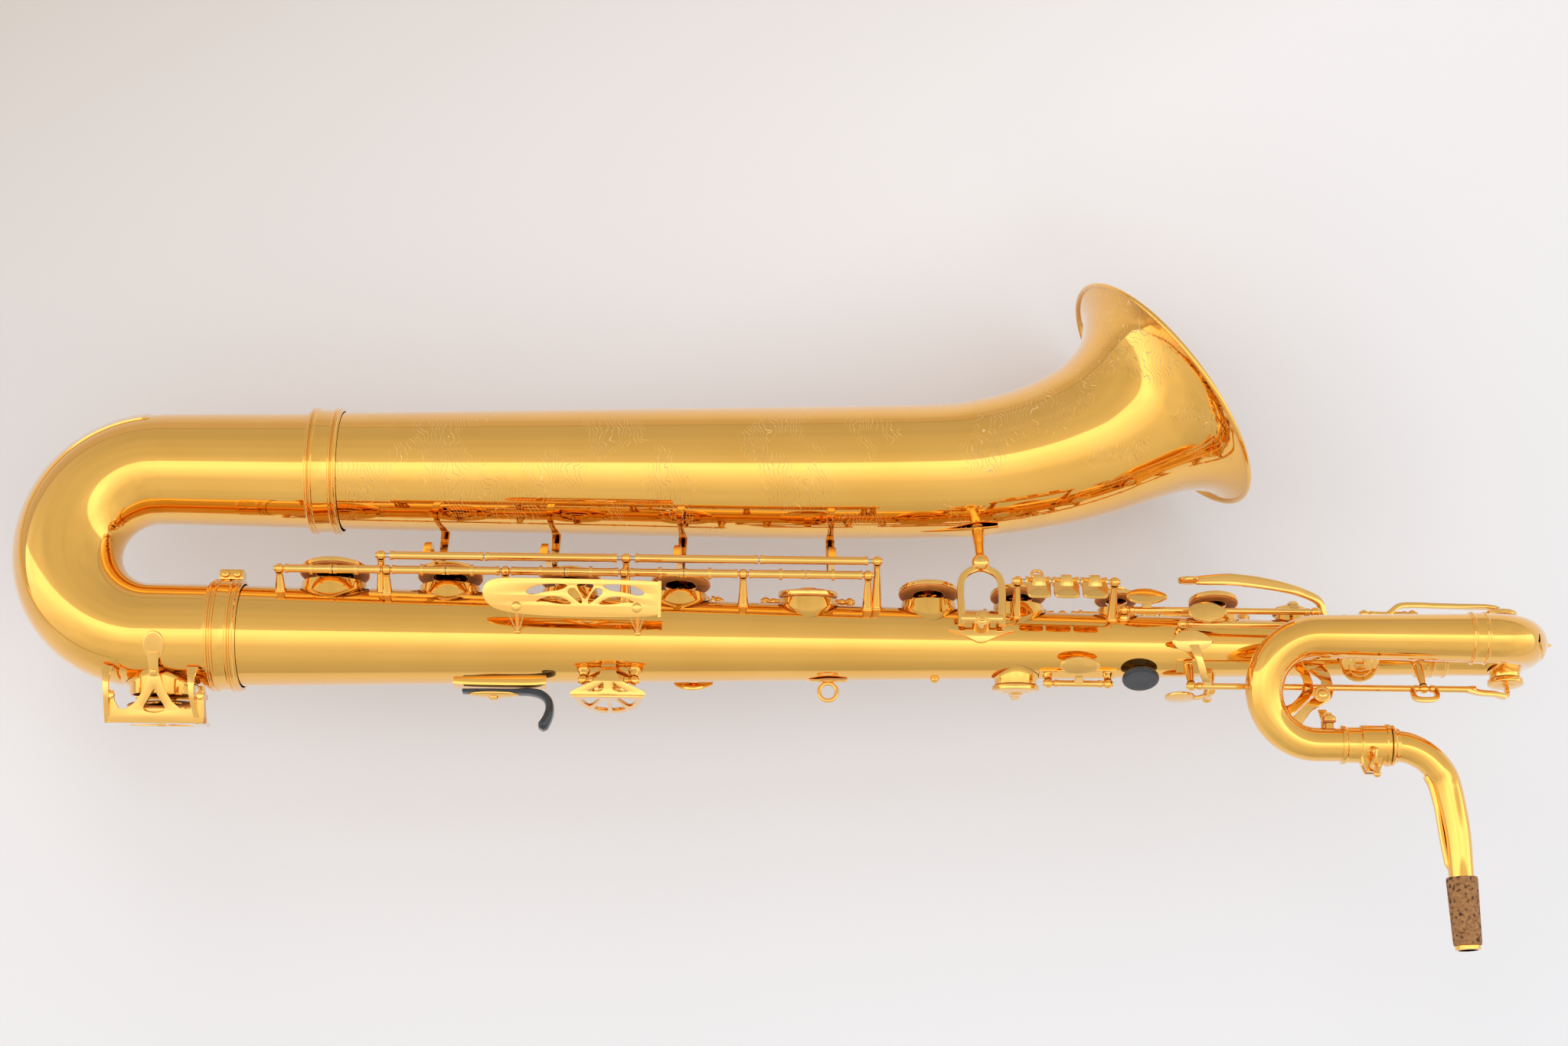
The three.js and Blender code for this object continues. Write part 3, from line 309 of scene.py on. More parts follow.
def sheet_with_windows(outline, windows, to_space, depth=1.8):
    """A flat sheet with shaped windows, filled by bpy's curve filler, as one mesh."""
    curve = bpy.data.curves.new("sheet", "CURVE")
    curve.dimensions = "2D"
    curve.fill_mode = "BOTH"
    curve.extrude = depth / 2
    curve.bevel_depth = 0.25
    curve.bevel_resolution = 2
    for loop in [outline, *windows]:
        spline = curve.splines.new("POLY")
        spline.points.add(len(loop) - 1)
        for point, (x, y) in zip(spline.points, loop):
            point.co = (x, y, 0, 1)
        spline.use_cyclic_u = True
    obj = bpy.data.objects.new("sheet", curve)
    mesh = obj.to_mesh()
    verts = np.array([to_space(*v.co) for v in mesh.vertices])
    faces = [tuple(p.vertices) for p in mesh.polygons]
    obj.to_mesh_clear()
    bpy.data.objects.remove(obj)
    bpy.data.curves.remove(curve)
    return verts, faces


def rounded(loop, times=3):
    """Cuts the corners of a closed outline until it is smooth."""
    for _ in range(times):
        cut = []
        for (ax, ay), (bx, by) in zip(loop, [*loop[1:], loop[0]]):
            cut.append((0.75 * ax + 0.25 * bx, 0.75 * ay + 0.25 * by))
            cut.append((0.25 * ax + 0.75 * bx, 0.25 * ay + 0.75 * by))
        loop = cut
    return loop


# ------------------------------------------------------------------ objects
SHARP_EDGE = math.radians(38)


def make_object(name, shapes, material):
    """One mesh object from closed and open shapes, smooth but for its sharp edges."""
    bm = bmesh.new()
    for verts, faces in shapes:
        made = [bm.verts.new(((v + SHIFT) / 1000).tolist()) for v in verts]
        for f in faces:
            try:
                bm.faces.new([made[i] for i in f])
            except ValueError:
                pass
    bmesh.ops.remove_doubles(bm, verts=bm.verts, dist=1e-7)
    loose = [v for v in bm.verts if not v.link_faces]
    bmesh.ops.delete(bm, geom=loose, context="VERTS")
    bmesh.ops.recalc_face_normals(bm, faces=bm.faces)
    mesh = bpy.data.meshes.new(name)
    bm.to_mesh(mesh)
    bm.free()
    mesh.polygons.foreach_set("use_smooth", [True] * len(mesh.polygons))
    mesh.set_sharp_from_angle(angle=SHARP_EDGE)
    obj = bpy.data.objects.new(name, mesh)
    bpy.context.scene.collection.objects.link(obj)
    mesh.materials.append(material)
    return obj


JOINTS = {j["child"]: j for j in frame["joints"]}


def closed_angle(body):
    """How far an open-standing key turns from rest to closed, in degrees."""
    low, high = JOINTS[body]["range_deg"]
    return low if abs(low) > abs(high) else high


def to_rest(shapes, body):
    """Turns shapes drawn in the closed position to where they lie at rest."""
    joint = JOINTS[body]
    pivot = np.array(joint["pos_m"]) * 1000 - SHIFT
    turn = Matrix.Rotation(math.radians(-closed_angle(body)), 3, Vector(joint["axis"]))
    turn = np.array(turn)
    return [((verts - pivot) @ turn.T + pivot, faces) for verts, faces in shapes]


def add_piece(name, shapes, material, body="instrument", open_standing=False):
    """Makes one visible piece that rides a body, with the given material."""
    if open_standing:
        shapes = to_rest(shapes, body)
    obj = make_object("look_" + name, shapes, material)
    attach(obj, body)
    return obj


def put(node, shapes, material, body="instrument", open_standing=False):
    """Makes the visible piece that stands for a CAD node."""
    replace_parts(add_piece(node, shapes, material, body, open_standing), node)


# ------------------------------------------------------------------ materials
class Nodes:
    """A node tree, with short names for the nodes that the looks are built from."""

    def __init__(self, tree):
        self.nodes, self.links = tree.nodes, tree.links

    def add(self, kind, **values):
        node = self.nodes.new("ShaderNode" + kind)
        for name, value in values.items():
            node.inputs[name.replace("_", " ")].default_value = value
        return node

    def link(self, output, socket):
        self.links.new(output, socket)

    def coords(self, kind="Object"):
        return self.add("TexCoord").outputs[kind]

    def noise(self, scale, detail=3.0, stretch=(1, 1, 1)):
        mapping = self.add("Mapping", Scale=stretch)
        texture = self.add("TexNoise", Scale=scale, Detail=detail)
        self.link(self.coords(), mapping.inputs["Vector"])
        self.link(mapping.outputs["Vector"], texture.inputs["Vector"])
        return texture.outputs["Fac"]

    def ramp(self, fac, stops):
        node = self.add("ValToRGB")
        elements = node.color_ramp.elements
        while len(elements) < len(stops):
            elements.new(0.5)
        for element, (place, colour) in zip(elements, stops):
            element.position = place
            element.color = (*colour, 1)
        self.link(fac, node.inputs["Fac"])
        return node.outputs["Color"]

    def scaled(self, fac, low, high):
        node = self.add("MapRange", To_Min=low, To_Max=high)
        self.link(fac, node.inputs["Value"])
        return node.outputs["Result"]

    def dot(self, vector, direction):
        """How far `vector` reaches along `direction`."""
        node = self.add("VectorMath")
        node.operation = "DOT_PRODUCT"
        node.inputs[1].default_value = direction.tolist()
        self.link(vector, node.inputs[0])
        return node.outputs["Value"]

    def mix_colour(self, fac):
        """A colour mix's sockets by identifier, with its factor linked."""
        node = self.add("Mix")
        node.data_type = "RGBA"
        ends = {socket.identifier: socket for socket in [*node.inputs, *node.outputs]}
        self.link(fac, ends["Factor_Float"])
        return ends


class Look(Nodes):
    """A material on one Principled shader."""

    def __init__(self, name, **values):
        self.material = bpy.data.materials.new(name)
        self.material.use_nodes = True
        super().__init__(self.material.node_tree)
        self.shader = self.nodes["Principled BSDF"]
        for key, value in values.items():
            self.shader.inputs[key.replace("_", " ")].default_value = value

    def drive(self, name, output):
        self.link(output, self.shader.inputs[name])

    def bump(self, height, strength, distance):
        node = self.add("Bump", Strength=strength, Distance=distance)
        self.link(height, node.inputs["Height"])
        self.drive("Normal", node.outputs["Normal"])


def lacquered_brass(name, light, deep, rough=(0.035, 0.075)):
    look = Look(name, Metallic=1, Coat_Weight=1.0, Coat_IOR=1.65, Coat_Roughness=0.04)
    look.drive("Base Color", look.ramp(look.noise(18), [(0.3, deep), (0.7, light)]))
    smears = look.noise(45, 5, (1, 1, 0.3))
    look.drive("Roughness", look.scaled(smears, *rough))
    look.bump(look.noise(260, 2), 0.02, 0.0002)
    return look


def engraved_brass(name, light, deep):
    """Brass with a faint leaf-like scratch engraving in patches."""
    look = lacquered_brass(name, light, deep)
    waves = look.add("TexWave", Scale=55, Distortion=12, Detail=2)
    waves.wave_type = "RINGS"
    look.link(look.coords(), waves.inputs["Vector"])
    black, white = (0, 0, 0), (1, 1, 1)
    patch = look.ramp(look.noise(22, 2), [(0.52, black), (0.6, white)])
    lines = look.ramp(waves.outputs["Fac"], [(0.43, black), (0.5, white), (0.57, black)])
    both = look.add("Math")
    both.operation = "MULTIPLY"
    look.link(patch, both.inputs[0])
    look.link(lines, both.inputs[1])
    scratched = both.outputs["Value"]
    look.bump(scratched, 0.6, 0.0006)
    scratch = look.mix_colour(scratched)
    scratch["B_Color"].default_value = (1.0, 0.78, 0.42, 1)
    look.link(look.shader.inputs["Base Color"].links[0].from_socket, scratch["A_Color"])
    look.drive("Base Color", scratch["Result_Color"])
    look.drive("Roughness", look.scaled(scratched, 0.05, 0.4))
    return look


def pad_leather():
    look = Look("pad_leather")
    grain = look.noise(160, 5)
    tan = look.ramp(grain, [(0.25, (0.58, 0.17, 0.03)), (0.75, (0.8, 0.3, 0.06))])
    look.drive("Base Color", tan)
    look.drive("Roughness", look.scaled(grain, 0.45, 0.65))
    look.bump(look.noise(1400, 3), 0.25, 0.0003)
    return look.material


def neck_cork():
    look = Look("neck_cork", Roughness=0.85)
    cells = look.add("TexVoronoi", Scale=420)
    look.link(look.coords(), cells.inputs["Vector"])
    browns = [(0.36, (0.03, 0.013, 0.006)), (0.43, (0.27, 0.12, 0.04)), (0.7, (0.4, 0.2, 0.075))]
    look.drive("Base Color", look.ramp(look.noise(380, 6), browns))
    look.bump(cells.outputs["Distance"], 0.4, 0.0006)
    return look.material


def speckled(name, dark, light, scale, rough, metallic=0.0, coat=0.0):
    look = Look(name, Metallic=metallic, Coat_Weight=coat)
    grain = look.noise(scale, 4)
    look.drive("Base Color", look.ramp(grain, [(0.3, dark), (0.7, light)]))
    look.drive("Roughness", look.scaled(grain, rough * 0.8, rough * 1.25))
    look.bump(look.noise(scale * 6, 2), 0.1, 0.0002)
    return look.material


LIGHT_GOLD, DEEP_GOLD = (0.95, 0.505, 0.065), (0.91, 0.465, 0.045)
LIGHT_KEYS, DEEP_KEYS = (0.95, 0.535, 0.1), (0.9, 0.48, 0.07)
BRASS = lacquered_brass("gold_lacquer", LIGHT_GOLD, DEEP_GOLD).material
KEY_BRASS = lacquered_brass("key_lacquer", LIGHT_KEYS, DEEP_KEYS, (0.05, 0.1)).material
BELL_BRASS = engraved_brass("bell_lacquer", LIGHT_GOLD, DEEP_GOLD).material
LEATHER = pad_leather()
CORK = neck_cork()
STEEL = speckled("rod_steel", (0.45, 0.46, 0.5), (0.62, 0.63, 0.67), 300, 0.28, 1.0)
BLUED = speckled("blued_spring", (0.02, 0.03, 0.07), (0.05, 0.08, 0.16), 300, 0.3, 1.0)
BLACK, DARK_GREY = (0.008, 0.009, 0.011), (0.02, 0.022, 0.026)
PLASTIC = speckled("black_plastic", BLACK, DARK_GREY, 200, 0.25, coat=0.4)
PEARL = speckled("pearl", (0.72, 0.72, 0.7), (0.93, 0.9, 0.86), 140, 0.18, coat=0.6)


# ------------------------------------------------------------------ the tubes' lines
def bell_at(z):
    """The bell's distance in front of the body's axis and its radius, below the flare."""
    heights = [210, 510, 642, 691]
    forward = np.interp(z, heights, [120.6, 123, 126, 134])
    return forward, np.interp(z, heights, [40.4, 45.7, 46.8, 49])


def seat(origin, out, tube_radius, cup):
    """A tone hole's place: where its tube is, which way it faces, and its sizes."""
    return {
        "from": origin,
        "out": unit(out),
        "tube": tube_radius,
        "top": tube_radius + CHIMNEY,
        "cup": cup,
        "hole": cup - 3,
    }


def body_seat(angle, z, cup):
    return seat(vec(0, 0, z), outward(angle), body_radius(z), cup)


def bell_seat(angle, z, cup):
    forward, radius = bell_at(z)
    return seat(vec(0, -forward, z), outward(angle), radius, cup)


SEATS = {
    "d": body_seat(STACK_ANGLE, 221, 24),
    "e": body_seat(STACK_ANGLE, 300, 22.5),
    "f": body_seat(STACK_ANGLE, 382, 21),
    "fsharp": body_seat(STACK_ANGLE, 457, 20.5),
    "gsharp": body_seat(12, 544, 20.5),
    "g": body_seat(STACK_ANGLE, 626, 20.5),
    "a": body_seat(STACK_ANGLE, 687, 19),
    "b": body_seat(STACK_ANGLE, 754, 15),
    "c": body_seat(STACK_ANGLE, 820, 17),
    "palm_d": body_seat(0, 872, 12),
    "palm_eb": body_seat(130, 914, 13),
    "low_eb": body_seat(-95, 190, 20),
    "trill_fsharp": body_seat(185, 411, 14.5),
    "side_bb": body_seat(190, 685, 16),
    "side_c": body_seat(-90, 720, 13),
}
BELL_SEATS = {
    "low_csharp": bell_seat(BELL_KEY_ANGLE, 286, 25),
    "low_b": bell_seat(BELL_KEY_ANGLE, 365, 27),
    "low_bb": bell_seat(BELL_KEY_ANGLE, 455, 28.5),
    "low_a": bell_seat(BELL_KEY_ANGLE, 560, 30),
}
LOW_C_SEAT = seat(vec(0, 0, LOW_C_Z), outward(LOW_C_ANGLE), 37, 24)
LOOP_SEATS = {
    "high_e": seat(vec(7.3, 1, 1013.7), -BACK, 17, 11.5),
    "palm_f": seat(vec(7.3, 1, 1013.7), BACK, 17, 12),
}
VENT_SEAT = seat(vec(28, 75, 889), -BACK, 10.5, 5)


def above(place, height):
    """The point on a tone hole's line, `height` above the rim of its closed cup."""
    return place["from"] + place["out"] * (place["top"] + GAP + PAD_DROP + height)


def roof(place, sink=0.5):
    """The middle of the cup's dome, sunk a little into it."""
    return above(place, CUP_HEIGHT - sink)


# ------------------------------------------------------------------ repeated pieces
def chimney(place, tube_radius=None, flare=2.6):
    """A drawn tone hole: a straight chimney and the sweep that joins it to the tube."""
    radius = place["tube"] if tube_radius is None else tube_radius
    hole, top = place["hole"], place["top"]
    outer, edge = hole + WALL, 0.999 * radius
    origin, out = place["from"], place["out"]
    side = np.cross(UP, out)
    sides = 72
    turns = np.linspace(0, 2 * math.pi, sides, endpoint=False)
    rings = []

    def flat(rho, height):
        return ring(rho, lambda a: np.full(sides, height))

    def saddle(rho, lift):
        """A ring that follows the tube's wall, `lift` above it."""
        return ring(rho, lambda a: np.sqrt(radius**2 - np.clip(a, -edge, edge) ** 2) + lift)

    def ring(rho, height_at):
        a, b = rho * np.cos(turns), rho * np.sin(turns)
        height = np.minimum(height_at(a), top)
        return origin + np.outer(a, side) + np.outer(b, UP) + np.outer(height, out)

    for share in np.linspace(0, 1, 6):
        rho = outer + flare * (1 - math.sin(share * math.pi / 2))
        lift = 0.05 + flare * 0.7 * (1 - math.cos(share * math.pi / 2))
        rings.append(saddle(rho, lift))
    rings += [flat(outer, top - 0.4), flat(outer - 0.15, top - 0.05), flat(hole + 0.2, top)]
    rings += [flat(hole, top - 0.3), saddle(hole, -WALL - 0.4)]
    return np.concatenate(rings), grid_faces(len(rings), sides)


def cup_shapes(place):
    """The brass key cup: a rim, a step and a shallow dome."""
    r = place["cup"]
    falls = [(0, 0), (0.3, 0.05), (0.58, 0.4), (0.62, 0.9), (0.86, 1.4), (1, 2.2)]
    profile = [(share * r, CUP_HEIGHT - fall) for share, fall in falls]
    profile += [(r, 0), (r - 0.8, 0), (r - 0.8, 1.8), (0, 1.8)]
    return [turned(profile, above(place, 0), place["out"], 64, 0.5)]


def pad_shapes(place):
    """The leather pad, with the groove that its chimney has pressed into it."""
    r, hole = place["cup"] - 0.9, place["hole"]
    profile = [(0, 1.7), (r, 1.7), (r, -0.2), (r - 0.8, -PAD_DROP), (hole + 1.2, -PAD_DROP)]
    profile += [(hole + 0.6, 0.25 - PAD_DROP), (hole, -PAD_DROP), (0, -PAD_DROP)]
    return [turned(profile, above(place, 0), place["out"], 64, 0.4)]


def resonator_shapes(place):
    """The domed brass disc in the middle of a pad."""
    r = 0.62 * place["hole"]
    profile = [(0, -2.4), (0.14 * r, -2.3), (0.2 * r, -1.7), (0.6 * r, -1.5)]
    profile += [(r, -0.9), (r, -0.4)]
    return [turned(profile, above(place, 0), place["out"], 48, 0.4)]


def hinge_tube(line, low, high):
    """A hinge tube with small turned rings at its ends."""
    profile = [(1.7, low), (3.1, low), (3.1, low + 2.2), (2.75, low + 2.6)]
    profile += [(2.75, high - 2.6), (3.1, high - 2.2), (3.1, high), (1.7, high)]
    return turned(profile, vec(line[0], line[1], 0), UP, 24, 0.2, looped=True)


def collar(at, radius, half_length):
    """A turned ring round a hinge tube."""
    profile = [(2.2, -half_length), (radius, -half_length), (radius, half_length), (2.2, half_length)]
    return turned(profile, at, UP, 24, 0.3, looped=True)


def key_shaft(line, low, high, radius=2.3):
    """A closed hinge barrel, thicker at its two ends."""
    thick, thin = radius + 0.3, radius - 0.1
    profile = [(0, low - 0.2), (1.2, low), (thick, low + 0.5), (thick, low + 3)]
    profile += [(thin, low + 3.6), (thin, high - 3.6), (thick, high - 3)]
    profile += [(thick, high - 0.5), (1.2, high), (0, high + 0.2)]
    return turned(profile, vec(line[0], line[1], 0), UP, 24, 0.2)


def post_shapes(foot, head, axis=UP):
    """A conical post with a flange at its foot, a ball head and a screw through the head."""
    length = np.linalg.norm(head - foot)
    r = 3.3
    neck = length - r
    profile = [(0, 0), (4.2, 0), (4.2, 0.9), (3.5, 1.5), (2.8, 0.45 * length)]
    profile += [(2.1, neck - 0.8), (2.7, neck - 0.2), (2.7, neck + 0.4)]
    shapes = [turned(profile, foot, head - foot, 24, 0.4)]
    shapes.append(ball(head, r, 24))
    shapes.append(between(head - axis * (r + 0.25), head + axis * (r + 0.25), 1.9, sides=20))
    return shapes


def body_post(head):
    """A post square to the body tube, with its ball head at `head`."""
    x, y, z = head
    angle = math.degrees(math.atan2(x, -y))
    return post_shapes(polar(angle, body_radius(z) - 0.3, z), head)


def rib(angle, low, high, half_width):
    """A flat strip soldered along the tube under a row of posts."""
    height = 1.3
    turn = math.degrees(half_width / body_radius(low))
    rings = []
    for z in np.linspace(low, high, 12):
        r = body_radius(z)
        around = [-turn, -turn, -turn * 0.9, 0, turn * 0.9, turn, turn]
        lifts = [-0.3, height * 0.7, height, height, height, height * 0.7, -0.3]
        rings.append([polar(angle + a, r + h, z) for a, h in zip(around, lifts)])
    verts = np.array(rings).reshape(-1, 3)
    count = len(rings[0])
    faces = grid_faces(len(rings), count, closed=False)
    faces.append(tuple(range(count)))
    faces.append(tuple(reversed(range(len(verts) - count, len(verts)))))
    return verts, faces


def screw_head(at, direction, radius):
    profile = [(0, 1.5), (0.5 * radius, 1.4), (0.85 * radius, 1.0), (radius, 0.3)]
    profile += [(radius, -0.6), (0, -0.6)]
    return turned(profile, at, direction, 24, 0.3)


def bead(radius, z, height, foot, crest):
    """A raised ring's outline, on a wall of the given radius."""
    top = radius + height
    return [(radius, z - foot), (top, z - crest), (top, z + crest), (radius, z + foot)]


def ferrule_profile(inner, low, high, depth=1.2):
    """The outline of a ferrule's wall, with a bead near each edge."""
    outer, edge = inner + depth, 0.14 * (high - low)
    beads = bead(outer, low + edge, 0.9, 1.1, 0.45) + bead(outer, high - edge, 0.9, 1.1, 0.45)
    return [(inner, low), (outer, low), *beads, (outer, high), (inner, high)]


def band(profile, x, y, sides):
    """A ring with the given wall outline round an upright tube."""
    return turned(profile, vec(x, y, 0), UP, sides, 0.25, looped=True)


ROD = {name: np.array(j["pos_m"]) * 1000 - SHIFT for name, j in JOINTS.items() if "pos_m" in j}
FRONT_ROD = (31.5, -38.0)
FRONT_POSTS = [188, 260, 340, 420, 500, 584]


def upright(body, z):
    """The point at height z on a body's upright rod."""
    return vec(ROD[body][0], ROD[body][1], z)


# ------------------------------------------------------------------ tubes
POST_HEIGHTS = {
    "key_d": [198, 340, 482],
    "key_g": [598, 720, 845],
    "key_low_b": [256, 421, 590],
    "table_gsharp": [684, 749],
    "key_gsharp": [515, 573],
    "key_low_eb": [172, 208],
    "key_trill_fsharp": [394, 428],
    "key_side_bb": [447, 705],
    "key_side_c": [495, 740],
    "key_palm_d": [757, 886],
    "key_palm_eb": [795, 909],
    "key_palm_f": [800, 955],
    "key_high_e": [925, 958],
    "front_f_lever": [886, 912],
    "low_a_thumb_lever": [706, 746],
}
# Angle round the tube, lower end, upper end and half width.
RIBS = [
    (-42, 190, 490, 5),
    (-45, 590, 852, 5),
    (35, 248, 430, 5),
    (-24, 880, 918, 5),
    (147, 792, 808, 6),
    (165, 700, 752, 5),
]
STUD_Z = 630


def show_body_tube():
    heights = np.arange(BODY_BOTTOM, BODY_TOP + 0.1, 2.2)
    path = [vec(0, 0, z) for z in heights]
    shapes = [tube(path, [body_radius(z) for z in heights], 112, WALL, list(SEATS.values()))]
    for place in SEATS.values():
        shapes.append(chimney(place))
    for body, zs in POST_HEIGHTS.items():
        for z in zs:
            shapes += body_post(upright(body, z))
    for z in FRONT_POSTS:
        shapes += body_post(vec(*FRONT_ROD, z))
    for side in (-9.6, 9.6):
        head = ROD["octave_thumb_lever"] + vec(side, 0, 0)
        shapes += post_shapes(vec(head[0] * 0.62, 17.5, head[2]), head, ACROSS)
    shapes += [rib(*sizes) for sizes in RIBS]
    hook_plate = [(0, 30.6, 306), (0, 31.2, 320), (0, 31.2, 356), (0, 30.2, 368)]
    shapes.append(bar(hook_plate, 13, 6.6, ACROSS, power=8))
    stud = [(0, 0), (3, 0), (3, 2), (1.6, 3.4), (0, 3.6)]
    shapes.append(turned(stud, vec(0, body_radius(STUD_Z) - 0.3, STUD_Z), BACK, 24))
    shapes.append(band(ferrule_profile(body_radius(958) - 0.2, 955, 964), 0, 0, 96))
    put("body_tube", shapes, BRASS)


def show_needle_springs():
    springs = []
    for angle, z, reach in [(-20, 258, 20), (-20, 344, 18), (-15, 478, -20)]:
        start = polar(angle - 12, body_radius(z) + 6, z)
        end = polar(angle - 2, body_radius(z) + 5.4, z + reach)
        springs.append(between(start, end, 0.45, 0.3, 10, 0))
    add_piece("needle_springs", springs, BLUED)


def bow_centre(turn):
    return vec(0, -BOW_BEND * (1 - math.cos(turn)), BOW_CENTRE_Z - BOW_BEND * math.sin(turn))


def bow_plate():
    """The protective plate along the outside of the bend, sunk into the tube at both ends."""
    around = np.radians([-44, -43, -30, -15, 0, 15, 30, 43, 44])
    sunk, raised = [-0.4] * 9, [-0.4, 0.9, 1.1, 1.1, 1.1, 1.1, 1.1, 0.9, -0.4]
    turns = np.linspace(math.radians(8), math.radians(176), 70)
    rows = []
    for turn in turns:
        centre = bow_centre(turn)
        out = unit(centre - vec(0, -BOW_BEND, BOW_CENTRE_Z))
        radius = np.interp(turn, [0, math.pi], [35.1, 38.6])
        lifts = sunk if turn in (turns[0], turns[-1]) else raised
        rows.append(arc_row(centre, radius, out, ACROSS, around, lifts))
    return strip(rows)


def show_bow():
    fall = [vec(0, 0, z) for z in np.linspace(BODY_BOTTOM - 0.4, BOW_CENTRE_Z + 3, 26)]
    bend = [bow_centre(turn) for turn in np.linspace(0, math.pi, 90)]
    rise = [vec(0, -2 * BOW_BEND - 0.3, z) for z in np.linspace(BOW_CENTRE_Z + 3, 210, 60)]
    path = np.array([*fall, *bend, *rise])
    radii = np.interp(np.linspace(0, 1, len(path)), [0, 0.15, 0.66, 1], [34.6, 35, 38.4, 40])
    low_c = dict(LOW_C_SEAT, tube=35.0)
    shapes = [tube(path, radii, 128, WALL, [low_c]), chimney(low_c), bow_plate()]
    for z in (LOW_C_Z - 21, LOW_C_Z + 21):
        shapes += post_shapes(low_c_point(-19, 25.4, z), upright("key_low_c", z))
    put("bow", shapes, BRASS)


# Height, distance in front of the body's axis, radius and forward lean in degrees.
BELL_RINGS = [
    (208, 120.6, 40.4, 0),
    (300, 121.3, 41.9, 0),
    (400, 122.2, 43.7, 0),
    (510, 123, 45.7, 0.3),
    (580, 124.2, 46.4, 2),
    (642, 126.2, 46.9, 6),
    (668, 129.4, 47.7, 10),
    (691, 134, 49, 15),
    (714, 140.6, 51, 20.5),
    (737, 149.6, 53.9, 26.5),
    (750, 156.5, 56.4, 30),
    (761, 163.2, 59.6, 32.8),
    (769, 168.7, 63, 34.8),
    (775, 173.2, 67, 36),
    (780, 177.2, 71.8, 37),
    (784.5, 180.8, 77.6, 37.6),
    (788, 183.5, 84, 38),
    (790.5, 185.6, 90.6, 38),
]


def bell_rows():
    """The bell's rings from the ferrule to the rolled rim, smoothed and 190 in number."""
    spread = np.linspace(0, len(BELL_RINGS) - 1, 190)
    rows = []
    for column in np.array(BELL_RINGS).T:
        fine = smooth_path([vec(i, value, 0) for i, value in enumerate(column)], 12)
        rows.append(np.interp(spread, fine[:, 0], fine[:, 1]))
    return np.array(rows).T


def bell_ring(row, inset):
    z, forward, radius, lean = row
    tilt = math.radians(lean)
    front = vec(0, math.cos(tilt), math.sin(tilt))
    turns = np.linspace(0, 2 * math.pi, 176, endpoint=False)
    ring = np.outer(np.cos(turns), ACROSS) + np.outer(np.sin(turns), front)
    return vec(0, -forward, z) + (radius - inset) * ring


def show_bell():
    rows = bell_rows()
    outer = [bell_ring(row, 0) for row in rows]
    inner = [bell_ring(row, WALL * 0.8) for row in rows]
    verts = np.concatenate(outer + inner[::-1])
    faces = grid_faces(len(outer) * 2, len(outer[0]), looped=True)
    shapes = [(verts, outside_holes(verts, faces, BELL_SEATS.values(), 0.6))]
    shapes += [chimney(place) for place in BELL_SEATS.values()]
    z, forward, radius, lean = rows[-1]
    tilt = math.radians(lean)
    axis = vec(0, -math.sin(tilt), math.cos(tilt))
    shapes.append(torus(vec(0, -forward, z), axis, radius + 0.4, 1.9, 200, 18))
    put("bell", shapes, BELL_BRASS)


LOOP_R, LOOP_Z, LEG_X, LEG_Y = 25.0, 996.0, 50.0, 7.0
S_Z, S_DROP = 881.0, 35.5
NECK_X, NECK_Y, CLAMP_Z = 28.0, 75.0, 915.0


def loop_point(turn):
    share = 1 - math.cos(turn)
    return vec(LOOP_R * share, LEG_Y * share / 2, LOOP_Z + LOOP_R * math.sin(turn))


def crook_line():
    points = [vec(0, 0, z) for z in np.linspace(BODY_TOP + 0.3, LOOP_Z - 2, 14)]
    points += [loop_point(turn) for turn in np.linspace(0, math.pi, 60)]
    points += [vec(LEG_X, LEG_Y, z) for z in np.linspace(LOOP_Z - 2, S_Z + 2, 50)]
    for turn in np.linspace(0, math.pi, 70):
        share = (1 - math.cos(turn)) / 2
        x, y = LEG_X + share * (NECK_X - LEG_X), LEG_Y + share * (NECK_Y - LEG_Y)
        points.append(vec(x, y, S_Z - S_DROP * math.sin(turn)))
    points += [vec(NECK_X, NECK_Y, z) for z in np.linspace(S_Z + 2, 900, 8)]
    return np.array(points)


def loop_plate():
    """The thin plate over the top of the crook's loop, narrowing to both ends."""
    rows = []
    for turn in np.linspace(-0.75, 0.75, 21):
        centre = loop_point(math.pi / 2 + turn)
        out = unit(centre - vec(LOOP_R, LEG_Y / 2, LOOP_Z))
        half = math.radians(52) * (1 - (turn / 0.78) ** 2) ** 0.6
        lifts = [-0.6, *[0.75] * 11, -0.6]
        rows.append(arc_row(centre, 16.35, out, BACK, np.linspace(-half, half, 13), lifts))
    return strip(rows)


def neck_receiver():
    profile = [(10.8, 896), (12.9, 896), (12.9, 898.5), (11.9, 899.6), (11.9, 908), (13.3, 909)]
    profile += [(13.3, 924.5), (14.2, 925.2), (14.2, 927.6), (10.8, 927.6)]
    shapes = [turned(profile, vec(NECK_X, NECK_Y, 0), UP, 72, 0.35, looped=True)]
    for across in (0.6, 6.6):
        lug = [(NECK_X + across, NECK_Y + reach, CLAMP_Z) for reach in (10, 15, 20)]
        shapes.append(bar(lug, [15, 13, 9], 3.6, UP, power=6))
    return shapes


